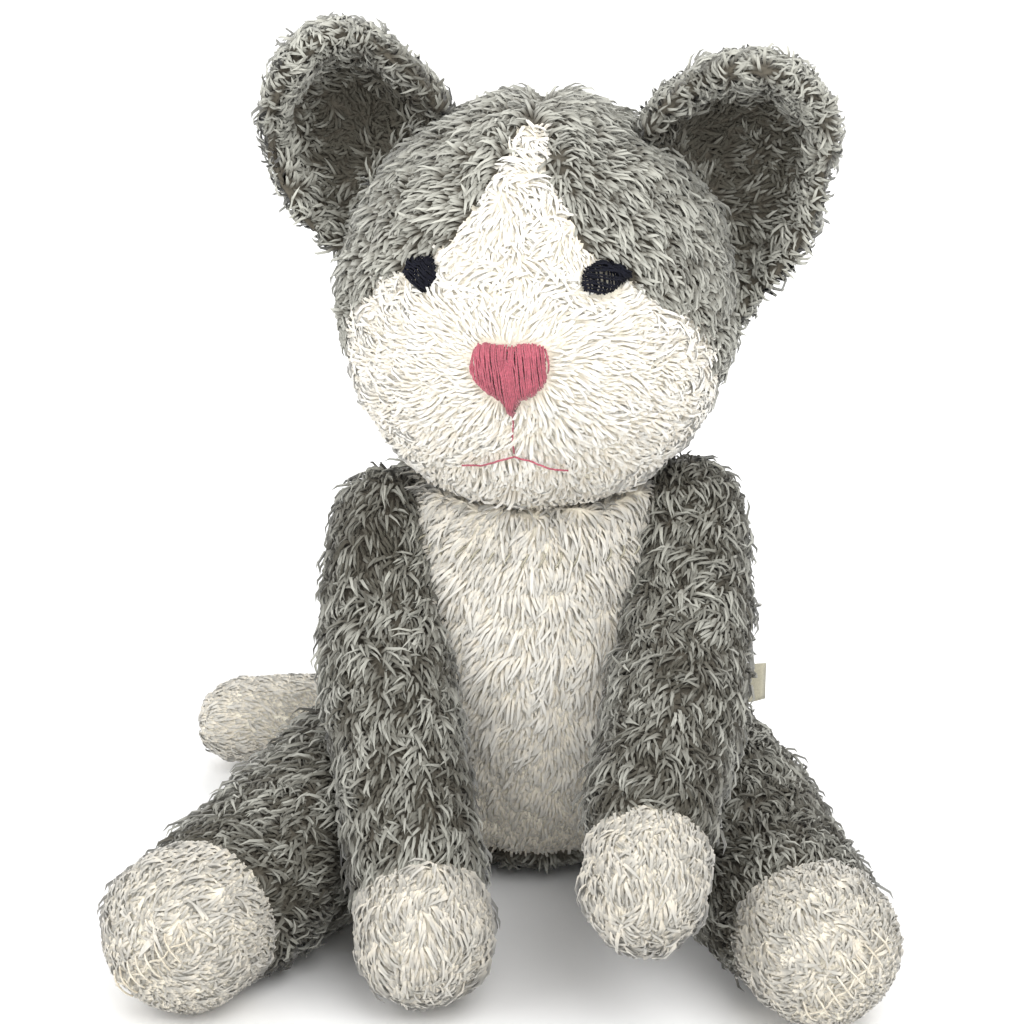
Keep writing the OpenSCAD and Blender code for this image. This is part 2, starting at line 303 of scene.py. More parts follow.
def coords(mesh):
    flat = np.empty(len(mesh.vertices) * 3, np.float32)
    mesh.vertices.foreach_get("co", flat)
    return flat.reshape(-1, 3).astype(float) * 1000


def set_coords(mesh, points_mm):
    mesh.vertices.foreach_set("co", (points_mm * MM).astype(np.float32).ravel())
    mesh.update()


def normals(mesh):
    flat = np.empty(len(mesh.vertices) * 3, np.float32)
    mesh.vertices.foreach_get("normal", flat)
    return flat.reshape(-1, 3).astype(float)


def write_floats(mesh, name, values, kind="FLOAT"):
    found = mesh.attributes.get(name) or mesh.attributes.new(name, kind, "POINT")
    key = "vector" if kind == "FLOAT_VECTOR" else "value"
    found.data.foreach_set(key, np.asarray(values, np.float32).ravel())


def face_outwards(obj):
    work = bmesh.new()
    work.from_mesh(obj.data)
    bmesh.ops.remove_doubles(work, verts=work.verts, dist=1e-6)
    bmesh.ops.recalc_face_normals(work, faces=work.faces)
    work.to_mesh(obj.data)
    work.free()


def settle_modifiers(obj):
    """Turns an object and its modifiers into a plain mesh."""
    graph = bpy.context.evaluated_depsgraph_get()
    mesh = bpy.data.meshes.new_from_object(
        obj.evaluated_get(graph), preserve_all_data_layers=True, depsgraph=graph)
    obj.modifiers.clear()
    old, obj.data = obj.data, mesh
    mesh.name = obj.name
    bpy.data.meshes.remove(old)


def lofted(name, rings):
    """A closed skin through rings of equally many points; the first and last shrink to a point."""
    rings = np.asarray(rings)
    count, around = rings.shape[:2]
    points = rings.reshape(-1, 3).tolist()
    faces = [
        (i * around + j, i * around + (j + 1) % around, (i + 1) * around + (j + 1) % around,
        (i + 1) * around + j)
        for i in range(count - 1) for j in range(around)]
    for ring, turn in ((0, -1), (count - 1, 1)):
        points.append(rings[ring].mean(0).tolist())
        middle = len(points) - 1
        for j in range(around):
            a, b = ring * around + j, ring * around + (j + 1) % around
            faces.append((a, b, middle) if turn > 0 else (b, a, middle))
    obj = new_object(name, points, faces)
    face_outwards(obj)
    return obj


# ---- the forms of the covers, before stuffing -------------------------------------------------


def limb_axes(root, aim):
    """Directions along a limb, to its side and to its top."""
    along = unit(aim - root)
    side = unit(np.array([1.0, 0, 0]) - along[0] * along)
    return along, side, np.cross(along, side)


def limb_form(name, root, aim, length, end, rows, flat_below=None):
    """A stuffed limb: rows are (place, shift to the side, shift up, radius)."""
    along, side, top = limb_axes(root, aim)
    first = smooth_rows(np.array([0.0]), rows)[2, 0]
    s = np.concatenate([
        -first * np.cos(np.linspace(0.1, math.pi / 2, 7)),
        np.linspace(2, length - end, 26),
        length - end + end * np.sin(np.linspace(0.15, 1.5, 9))])
    shift, lift, radius = smooth_rows(np.clip(s, 0, length - end), rows)
    radius = np.where(s < 0, np.sqrt(np.maximum(radius**2 - s**2 * (radius / first) ** 2, 0.5)), radius)
    radius = np.where(
        s > length - end, radius * np.sqrt(np.maximum(1 - ((s - length + end) / end) ** 2, 0.01)), radius)
    angle = np.linspace(0, 2 * math.pi, 28, endpoint=False)
    rings = (
        root + s[:, None, None] * along
        + (shift[:, None] + radius[:, None] * np.cos(angle))[..., None] * side
        + (lift[:, None] + radius[:, None] * np.sin(angle))[..., None] * top)
    if flat_below is not None:
        give = 3
        height = rings[..., 2]
        squashed = flat_below + give * np.exp((height - flat_below - give) / give)
        rings[..., 2] = np.where(height < flat_below + give, squashed, height)
    return lofted(name, rings)


ARM_ROWS = {
    LEFT: [(0, 0.5, 7, 12.8), (12, 2.4, 5, 13.2), (24, 3.4, 2, 13.6), (37, 3.4, 0, 14.3), (57, 2.4, 0, 14.6),
           (76, 0.3, 0, 14.2), (90, -1.1, 0, 13.8), (100, -1.3, 0, 13.4), (112, -1.1, 0, 14.0), (133, -0.6,
           0, 13.6)],
    RIGHT: [(0, 0, 4, 12.6), (12, -2.4, 3, 12.9), (24, -3.8, 1.2, 13.6), (37, -4.2, 0, 14.2), (52, -3.6, 0,
        14.4),
            (66, -2.6, 0, 14.4), (80, -1.6, 0, 14.3), (94, -0.4, 0, 14.0), (101, 0, 0, 14.2), (112, 0, 0,
            15.6),
            (133, 0, 0, 15.0)],
}
LEG_ROWS = {
    LEFT: [(0, 0, 1.5, 20), (14, 0, 2, 21.5), (32, 0, 1.5, 21), (52, 0, 0.5, 19.4), (70, 0, 0, 18), (81, 0,
        -0.3, 17.2),
           (92, 0.3, -0.3, 17.8), (110, 0.3, -0.3, 17.3)],
    RIGHT: [(0, 0, 1.5, 20), (14, 0, 2, 21.5), (32, 0, 1.5, 21), (52, -0.3, 0.5, 19.6), (70, -1, 0, 18.4),
            (81, -1.5, -0.3, 17.8), (92, -1.8, -0.2, 18.6), (110, -1.8, -0.2, 18)],
}
TAIL_ROWS = [(0, 0, 0, 9), (20, 0, 0, 9.6), (46, 0, 0, 10), (60, 0, 0, 11), (84, 0, 0, 10.6)]


def torso_form():
    """The body of the toy, with a bowl on top for the head."""
    t = np.linspace(0, 1, 26)[:, None]
    a, b, c, d = (np.array(p, float) for p in ([23, 1.2], [56, 3], [44, 71], [31.5, 97]))
    side = (1 - t) ** 3 * a + 3 * t * (1 - t) ** 2 * b + 3 * t * t * (1 - t) * c + t**3 * d
    inner = np.linspace(30, 1.5, 9)
    bowl = np.stack([inner, np.minimum(97.8, HEAD_C[2] - 53.6 * np.sqrt(1 - (inner / 51) ** 2))], 1)
    base = np.stack([np.linspace(1.5, 22, 6), np.full(6, 1.0)], 1)
    profile = np.concatenate([base, side, bowl])
    angle = np.linspace(0, 2 * math.pi, 56, endpoint=False)
    rings = np.stack([
        profile[:, :1] * np.cos(angle), profile[:, :1] * np.sin(angle),
        np.repeat(profile[:, 1:], len(angle), 1)], 2)
    x, y, z = rings[..., 0], rings[..., 1], rings[..., 2]
    belly = np.exp(-((z - 40) / 26) ** 2) * np.clip(-y / 45, 0, 1) * np.exp(-((x / 24) ** 2))
    y -= 1.6 * belly
    return lofted("torso_cover", rings)


def to_face(points):
    """The toy's points in the face's own frame: x to its left, y back, z up, from the head's middle."""
    p = points - HEAD_C
    c, s = math.cos(FACE_TURN), math.sin(FACE_TURN)
    return np.stack([c * p[..., 0] - s * p[..., 1], s * p[..., 0] + c * p[..., 1], p[..., 2]], -1)


def from_face(points):
    c, s = math.cos(FACE_TURN), math.sin(FACE_TURN)
    return np.stack(
        [c * points[..., 0] + s * points[..., 1], -s * points[..., 0] + c * points[..., 1], points[..., 2]],
        -1) + HEAD_C


def head_form():
    """A round head with full cheeks, a soft bridge and slightly sunk eyes."""
    work = bmesh.new()
    bmesh.ops.create_icosphere(work, subdivisions=5, radius=1)
    way = np.array([v.co for v in work.verts])
    faces = [[v.index for v in f.verts] for f in work.faces]
    work.free()
    local = way * (HEAD_R - 2.4)
    front = ease(0, 30, -local[:, 1])
    x, z = np.abs(local[:, 0]), local[:, 2]
    cheeks = np.exp(-((x - 25) / 15) ** 2 - ((z + 14) / 15) ** 2)
    bridge = np.exp(-((x / 9) ** 2) - ((z - 8) / 14) ** 2)
    sunk = np.exp(-((x - 22) / 6) ** 2 - ((z - 20) / 5) ** 2)
    chin = np.exp(-((x / 12) ** 2) - ((z + 33) / 8) ** 2)
    lip = np.exp(-((x / 3) ** 2) - ((z + 17) / 9) ** 2)
    out = front * (1.5 * cheeks + 0.8 * bridge - 1.6 * sunk + 0.8 * chin - 1.1 * lip)
    return new_object("head_cover", from_face(local + way * out[:, None]), faces)


def ear_rim(side):
    """The rim of an ear cover from the front, and the point it is drawn round."""
    outline = rounded(EARS[side], 2)
    middle = outline.mean(0)
    return outline + 1.0 * unit(outline - middle) + [0, 2.6 if side == RIGHT else 1.2], middle


def ear_faces(side, rho, edge, middle):
    """Depth of the front and back cloths at a share of the way out to a point of the rim."""
    outside = np.clip((edge[:, 0] * side - 38) / 20, 0, 1)
    high = np.clip((edge[:, 1] - middle[1]) / 25, 0, 1)
    roll = (15.0 * high + 4.0 * outside) * (1.0 if side == LEFT else 0.75)
    front = EAR_Y[side] - (12.0 + 4.0 * outside) * rho**2.0 - roll * ease(0.6, 0.92, rho) * 0.7
    thick = 4.2 + roll * ease(0.66, 0.92, rho) * 0.75
    bulge = np.sqrt(np.clip(1 - np.clip((rho - 0.86) / 0.14, 0, 1) ** 2, 0, 1))
    return front + thick / 2 * (1 - bulge), front + thick / 2 * (1 + bulge)


def ear_form(side):
    """Two cloths sewn round their rim and cupped forward, with the top rim rolled over."""
    outline, middle = ear_rim(side)
    rho = np.concatenate([np.linspace(0.08, 0.9, 10), [0.95, 0.985, 1.0]])[:, None]
    plan = middle + rho[..., None] * (outline - middle)
    front, back = [
        np.stack([plan[..., 0], face, plan[..., 1]], 2) for face in ear_faces(side, rho, outline, middle)]
    return lofted(f"{NAMES[side]}_ear_cover", np.concatenate([front, back[::-1][1:]]))


# ---- seams: which panel a point of a cover belongs to ------------------------------------------


def torso_panels(p):
    width = np.interp(p[:, 2], *smooth_curve(BIB[:, 1], BIB[:, 0]))
    bib = np.where(p[:, 1] < 0, width - np.abs(p[:, 0]), -np.abs(p[:, 1]) - 8)
    seat = SEAT_SEAM - p[:, 2]
    bib = np.minimum(bib, -seat)
    rest = -np.maximum(bib, seat)
    return {
        "torso_bib": bib, "torso_seat_panel": seat,
        "torso_back_left": np.minimum(rest, p[:, 0]), "torso_back_right": np.minimum(rest, -p[:, 0])}


def smooth_curve(x, y):
    grid = np.linspace(x[0], x[-1], 200)
    line = np.interp(grid, x, y)
    kernel = np.hanning(25)
    line = np.convolve(np.pad(line, 12, mode="edge"), kernel / kernel.sum(), mode="same")[12:-12]
    return grid, line


def head_panels(p):
    q = to_face(p)
    mask = inside_by(q[:, [0, 2]], MASK_OUTLINE) + 0.7 * waves(p, 16, 3)
    mask = np.where(q[:, 1] < 2, np.minimum(mask, 47.5 - q[:, 2]), -12 - q[:, 1])
    return {
        "face_panel": mask, "crown_left": np.minimum(-mask, q[:, 0]),
        "crown_right": np.minimum(-mask, -q[:, 0])}


MASK_OUTLINE = rounded(both_sides(MASK), 1)
NOSE_OUTLINE = rounded(both_sides(NOSE), 2)


def seam_panels(before, after, root, aim, seam):
    def panels(p):
        s = (p - root) @ unit(aim - root)
        edge = seam + 0.9 * waves(p, 30, 11)
        return {before: edge - s, after: s - edge}
    return panels


def ear_panels(side):
    outline, middle = ear_rim(side)
    angle = np.arctan2(*(outline - middle).T[::-1])
    order = np.argsort(angle)

    def panels(p):
        plan = p[:, [0, 2]] - middle
        at = np.arctan2(plan[:, 1], plan[:, 0])
        edge = np.stack(
            [np.interp(at, angle[order], outline[order, k], period=2 * math.pi) for k in (0, 1)], 1)
        rho = np.linalg.norm(plan, axis=1) / np.linalg.norm(edge - middle, axis=1)
        between = np.mean(ear_faces(side, np.clip(rho, 0, 1), edge, middle), 0)
        name = NAMES[side]
        return {f"{name}_ear_lining": between - p[:, 1], f"{name}_ear_back": p[:, 1] - between}
    return panels


def cover_list():
    """Name, maker, body and panels of each cover."""
    rows = [("torso_cover", torso_form, "torso", torso_panels), ("head_cover", head_form, "head",
        head_panels)]
    for side, name in NAMES.items():
        rows.append((
            f"{name}_arm_cover",
            lambda side=side, name=name: limb_form(
                f"{name}_arm_cover", SHOULDER[side], PAW_AT[side], ARM_LEN - 3.5, 15, ARM_ROWS[side], 1.6),
            f"{name}_arm",
            seam_panels(f"{name}_arm_sleeve", f"{name}_paw", SHOULDER[side], PAW_AT[side],
                ARM_LEN - PAW_LEN)))
        rows.append((
            f"{name}_leg_cover",
            lambda side=side, name=name: limb_form(
                f"{name}_leg_cover", HIP[side], FOOT_AT[side], LEG_LEN, 14, LEG_ROWS[side], 1.6),
            f"{name}_leg",
            seam_panels(f"{name}_leg_sleeve", f"{name}_foot", HIP[side], FOOT_AT[side], LEG_LEN - FOOT_LEN)))
        rows.append((
            f"{name}_ear_cover", lambda side=side: ear_form(side), f"{name}_ear", ear_panels(side)))
    rows.append((
        "tail_cover",
        lambda: limb_form("tail_cover", TAIL_ROOT, TAIL_TIP_AT, TAIL_LEN, 12, TAIL_ROWS, 1.6), "tail",
        seam_panels("tail_sleeve", "tail_tip", TAIL_ROOT, TAIL_TIP_AT, TAIL_LEN - TIP_LEN)))
    return rows


# ---- stuffing the covers -----------------------------------------------------------------------


def stuff_covers(rows, cloth):
    """Remeshes every cover, lets stuffing push on all of them at once, and draws in the seams."""
    covers = {}
    for name, make, body, panels in rows:
        cover = make()
        grid = cover.modifiers.new("Even grid", "REMESH")
        grid.mode = "VOXEL"
        grid.voxel_size = cloth.grid * (0.75 if "ear" in name else 1)
        settle_modifiers(cover)
        covers[name] = cover
    start = {name: coords(c.data) for name, c in covers.items()}
    for name, _, body, panels in rows:
        cover = covers[name]
        seams = np.min([np.abs(d) for d in panels(start[name]).values()], 0)
        held = cover.vertex_groups.new(name="Sewn")
        for i in np.flatnonzero(seams < 2.2):
            held.add([int(i)], 1.0, "REPLACE")
    for cover in covers.values():
        add_cloth(cover, cloth.pressure)
    scene = bpy.context.scene
    for number in range(1, 21):
        scene.frame_set(number)
    graph = bpy.context.evaluated_depsgraph_get()
    for name, cover in covers.items():
        moved = coords(cover.evaluated_get(graph).data) - start[name]
        far = np.linalg.norm(moved, axis=1, keepdims=True)
        start[name] = start[name] + moved * np.minimum(1, cloth.swell * 1000 / np.maximum(far, 1e-9))
    for cover in covers.values():
        cover.modifiers.clear()
    scene.frame_set(1)
    for name, _, body, panels in rows:
        cover = covers[name]
        cover.vertex_groups.clear()
        set_coords(cover.data, start[name])
        finer = cover.modifiers.new("Finer cloth", "SUBSURF")
        finer.levels = finer.render_levels = 1
        settle_modifiers(cover)
        mesh = cover.data
        p, n = coords(mesh), normals(mesh)
        seams = np.min([np.abs(d) for d in panels(p).values()], 0)
        drawn_in = cloth.seam_depth * 1000 * np.exp(-((seams / 2.2) ** 2))
        lumps = 0.35 * waves(p, 22, 5) + 0.18 * waves(p, 9, 6)
        p = p + n * (lumps - drawn_in)[:, None]
        if "head" not in name and "ear" not in name:
            p[:, 2] = np.maximum(p[:, 2], 1.0)
        set_coords(mesh, p)
        for f in mesh.polygons:
            f.use_smooth = True
        write_floats(mesh, "panel", np.zeros(len(mesh.vertices)))
        write_floats(mesh, "tint", np.zeros(len(mesh.vertices)))
        write_floats(mesh, "trim", np.ones(len(mesh.vertices)))
        write_floats(mesh, "nap", np.zeros((len(mesh.vertices), 3)), "FLOAT_VECTOR")
    return covers


def add_cloth(cover, pressure):
    modifier = cover.modifiers.new("Stuffed", "CLOTH")
    modifier.point_cache.frame_start, modifier.point_cache.frame_end = 1, 20
    settings = modifier.settings
    settings.quality = 4
    settings.mass = 0.0015
    settings.use_pressure = True
    settings.uniform_pressure_force = pressure
    settings.effector_weights.gravity = 0
    settings.vertex_group_mass = "Sewn"
    modifier.collision_settings.use_collision = False


# ---- materials -------------------------------------------------------------------------------


def blank_material(name):
    material = bpy.data.materials.new(name)
    material.use_nodes = True
    nodes = material.node_tree.nodes
    return material, nodes, material.node_tree.links, nodes["Principled BSDF"]


def node(nodes, kind, **inputs):
    made = nodes.new(kind)
    for key, value in inputs.items():
        found = made.inputs.get(key.replace("_", " ")) or made.inputs[key]
        found.default_value = value
    return made


def scaled(colour, by):
    return tuple(min(1, c * by) for c in colour) + (1,)


def pile_material(name, root, tip, shade, sheen, warm_shade):
    """Pile cloth: each lock has its own tone, shifted by painted light and shade, with painted shade mixed in
    towards its root where the locks shade each other.
    """
    material, nodes, links, shader = blank_material(name)
    place = node(nodes, "ShaderNodeUVMap")
    place.uv_map = "OFBake"
    apart = node(nodes, "ShaderNodeSeparateXYZ")
    links.new(place.outputs["UV"], apart.inputs[0])
    tone = node(nodes, "ShaderNodeValToRGB")
    tone.color_ramp.elements[0].color = scaled([a * b for a, b in zip(tip, warm_shade)], shade[0])
    tone.color_ramp.elements[1].color = scaled(tip, shade[2])
    middle = tone.color_ramp.elements.new(0.5)
    middle.color = scaled(tip, shade[1])
    links.new(apart.outputs[0], tone.inputs["Fac"])
    # Painted shade: the root colour is mixed in towards the root of each lock.
    rise = node(nodes, "ShaderNodeValToRGB")
    rise.color_ramp.interpolation = "EASE"
    rise.color_ramp.elements[0].position, rise.color_ramp.elements[1].position = 0.02, 0.62
    links.new(apart.outputs[1], rise.inputs["Fac"])
    both = node(nodes, "ShaderNodeMix")
    both.data_type = "RGBA"
    both.inputs[6].default_value = scaled(root, 1)
    links.new(rise.outputs["Color"], both.inputs[0])
    links.new(tone.outputs["Color"], both.inputs[7])
    links.new(both.outputs[2], shader.inputs["Base Color"])
    shader.inputs["Roughness"].default_value = 0.82
    shader.inputs["Specular IOR Level"].default_value = 0.22
    shader.inputs["Sheen Weight"].default_value = sheen
    shader.inputs["Sheen Roughness"].default_value = 0.45
    return material


def woven_material(name, colour, darker, grain, rough, sheen=0.15, depth=0.25):
    """Cloth, thread or wadding: two tones in a fine grain, with the grain standing out a little."""
    material, nodes, links, shader = blank_material(name)
    place = node(nodes, "ShaderNodeTexCoord")
    fine = node(nodes, "ShaderNodeTexNoise", Scale=grain, Detail=4.0, Roughness=0.6)
    broad = node(nodes, "ShaderNodeTexNoise", Scale=grain / 9, Detail=2.0, Roughness=0.5)
    mixed = node(nodes, "ShaderNodeMath")
    mixed.operation = "MULTIPLY_ADD"
    mixed.inputs[1].default_value = 0.6
    for source in (fine, broad):
        links.new(place.outputs["Object"], source.inputs["Vector"])
    links.new(fine.outputs["Fac"], mixed.inputs[0])
    half = node(nodes, "ShaderNodeMath")
    half.operation = "MULTIPLY"
    half.inputs[1].default_value = 0.4
    links.new(broad.outputs["Fac"], half.inputs[0])
    links.new(half.outputs[0], mixed.inputs[2])
    ramp = node(nodes, "ShaderNodeValToRGB")
    ramp.color_ramp.elements[0].position, ramp.color_ramp.elements[1].position = 0.34, 0.66
    ramp.color_ramp.elements[0].color = tuple(darker) + (1,)
    ramp.color_ramp.elements[1].color = tuple(colour) + (1,)
    links.new(mixed.outputs[0], ramp.inputs["Fac"])
    links.new(ramp.outputs["Color"], shader.inputs["Base Color"])
    bump = node(nodes, "ShaderNodeBump", Strength=depth, Distance=0.0004)
    links.new(fine.outputs["Fac"], bump.inputs["Height"])
    links.new(bump.outputs["Normal"], shader.inputs["Normal"])
    shader.inputs["Roughness"].default_value = rough
    shader.inputs["Specular IOR Level"].default_value = 0.25
    shader.inputs["Sheen Weight"].default_value = sheen
    return material


def finishes(c):
    """Every finish of the toy: the function that makes it, and what that function is given."""
    grey_root_shade = tuple(c.grey_root_shade)
    cream_root_shade = tuple(c.cream_root_shade)
    return {
        "Grey pile": (pile_material, grey_root_shade, tuple(c.grey), (0.16, 0.92, 1.35), 0.25, (1.08, 1.0, 0.86)),
        "Cream pile": (pile_material, cream_root_shade, tuple(c.cream), (0.5, 0.98, 1.08), 0.2, (1.0, 0.985, 0.95)),
        # The backing cloths are coloured in the root colours, as painted shade seen between the locks.
        "Grey backing": (woven_material, [1.5 * v for v in grey_root_shade], grey_root_shade, 900, 0.95),
        "Cream backing": (woven_material, [min(1, 1.2 * v) for v in cream_root_shade], cream_root_shade, 900, 0.95),
        "Wadding": (woven_material, (0.86, 0.85, 0.82), (0.68, 0.66, 0.61), 420, 0.95, 0.3, 0.6),
        "Rose thread": (
            woven_material, [1.25 * v for v in c.rose], [0.62 * v for v in c.rose], 1500, 0.55, 0.3),
        "Eye thread": (woven_material, [2.2 * v for v in c.navy], [0.5 * v for v in c.navy], 1500, 0.75, 0.0),
        "Seam thread": (woven_material, [1.1 * v for v in c.beige], [0.6 * v for v in c.beige], 1200, 0.7),
        "Sole thread": (woven_material, (0.80, 0.76, 0.66), (0.55, 0.48, 0.36), 1200, 0.7),
        "Label cloth": (woven_material, c.beige, [0.72 * v for v in c.beige], 2200, 0.8),
        "Floor paper": (woven_material, (0.93, 0.93, 0.93), (0.90, 0.90, 0.90), 40, 0.9, 0.0, 0.02),
    }


def material(name):
    """One of the toy's finishes, made when it is first asked for."""
    found = bpy.data.materials.get(name)
    if found:
        return found
    make, *look = finishes(bpy.context.scene.cat_colours)[name]
    return make(name, *look)


# ---- pile locks --------------------------------------------------------------------------------


def lock_shapes(count=7, seed=3):
    """A few curved, tapered locks of unit length that stand on +Z, in a collection of their own."""
    rng = np.random.default_rng(seed)
    found = bpy.data.collections.get("Lock shapes")
    if found:
        return found
    made = bpy.data.collections.new("Lock shapes")
    for number in range(count):
        curl, aside = rng.uniform(1.6, 2.8), rng.uniform(-0.6, 0.6)

        def spine(t):
            out, up = (1 - math.cos(curl * t)) / curl, math.sin(curl * t) / curl
            return np.array([out * math.sin(aside), -out * math.cos(aside), up])

        verts, along = [], []
        for t, r in ((0, 0.42), (0.36, 0.5), (0.72, 0.38)):
            for k in range(3):
                verts.append(spine(t).tolist())
                along.append((t, r, 2 * math.pi * k / 3 + 0.9 * t + number, curl * t))
        verts.append(spine(1).tolist())
        mesh = bpy.data.meshes.new(f"Lock {number}")
        faces = [(0, 2, 1), (6, 7, 9), (7, 8, 9), (8, 6, 9)]
        for ring in (0, 3):
            for k in range(3):
                a, b = ring + k, ring + (k + 1) % 3
                faces += [(a, b, b + 3), (a, b + 3, a + 3)]
        mesh.from_pydata(verts, [], faces)
        for name, kind in (("along", "FLOAT"), ("rim", "FLOAT_VECTOR")):
            mesh.attributes.new(name, kind, "POINT")
        mesh.attributes["along"].data.foreach_set("value", [t for t, _, _, _ in along] + [1.0])
        rim = []
        for t, r, a, bent in along:
            u, v = r * math.cos(a), r * math.sin(a)
            rim.append((u, v * math.cos(bent), v * math.sin(bent)))
        rim.append((0, 0, 0))
        mesh.attributes["rim"].data.foreach_set("vector", np.array(rim, np.float32).ravel())
        for f in mesh.polygons:
            f.use_smooth = True
        made.objects.link(bpy.data.objects.new(f"Lock {number}", mesh))
    return made


class Tree:
    """A small helper that builds a Geometry Nodes tree with named inputs."""

    def __init__(self, name, inputs):
        self.tree = bpy.data.node_groups.new(name, "GeometryNodeTree")
        self.tree.interface.new_socket(name="Geometry", in_out="OUTPUT", socket_type="NodeSocketGeometry")
        self.ids = {}
        for title, kind in [("Geometry", "Geometry"), *inputs]:
            socket = self.tree.interface.new_socket(
                name=title, in_out="INPUT", socket_type=f"NodeSocket{kind}")
            self.ids[title] = socket.identifier
        self.start = self.tree.nodes.new("NodeGroupInput")
        self.end = self.tree.nodes.new("NodeGroupOutput")

    def add(self, kind, settings=None, **inputs):
        made = self.tree.nodes.new(kind)
        for key, value in (settings or {}).items():
            setattr(made, key, value)
        for key, value in inputs.items():
            self.feed(self.socket(made.inputs, key), value)
        return made

    @staticmethod
    def socket(sockets, key):
        key = key.replace("_", " ").strip()
        live = [s for s in sockets if s.name == key and s.enabled]
        return live[0]

    def feed(self, into, value):
        if isinstance(value, bpy.types.NodeSocket):
            self.tree.links.new(value, into)
        else:
            into.default_value = value

    def given(self, title):
        return self.start.outputs[title]

    def maths(self, operation, *values):
        made = self.tree.nodes.new("ShaderNodeMath")
        made.operation = operation
        for socket, value in zip(made.inputs, values):
            self.feed(socket, value)
        return made.outputs[0]

    def vector(self, operation, *values, out="Vector"):
        made = self.tree.nodes.new("ShaderNodeVectorMath")
        made.operation = operation
        for socket, value in zip([s for s in made.inputs if s.enabled], values):
            self.feed(socket, value)
        return made.outputs[out]

    def scale(self, vector, by):
        made = self.tree.nodes.new("ShaderNodeVectorMath")
        made.operation = "SCALE"
        self.feed(made.inputs[0], vector)
        self.feed(made.inputs["Scale"], by)
        return made.outputs[0]

    def random(self, low, high, seed, kind="FLOAT"):
        made = self.tree.nodes.new("FunctionNodeRandomValue")
        made.data_type = kind
        self.feed(self.socket(made.inputs, "Min"), low)
        self.feed(self.socket(made.inputs, "Max"), high)
        made.inputs["Seed"].default_value = seed
        return next(s for s in made.outputs if s.enabled)

    def attribute(self, name, kind="FLOAT"):
        made = self.add("GeometryNodeInputNamedAttribute", {"data_type": kind}, Name=name)
        return next(s for s in made.outputs if s.enabled)


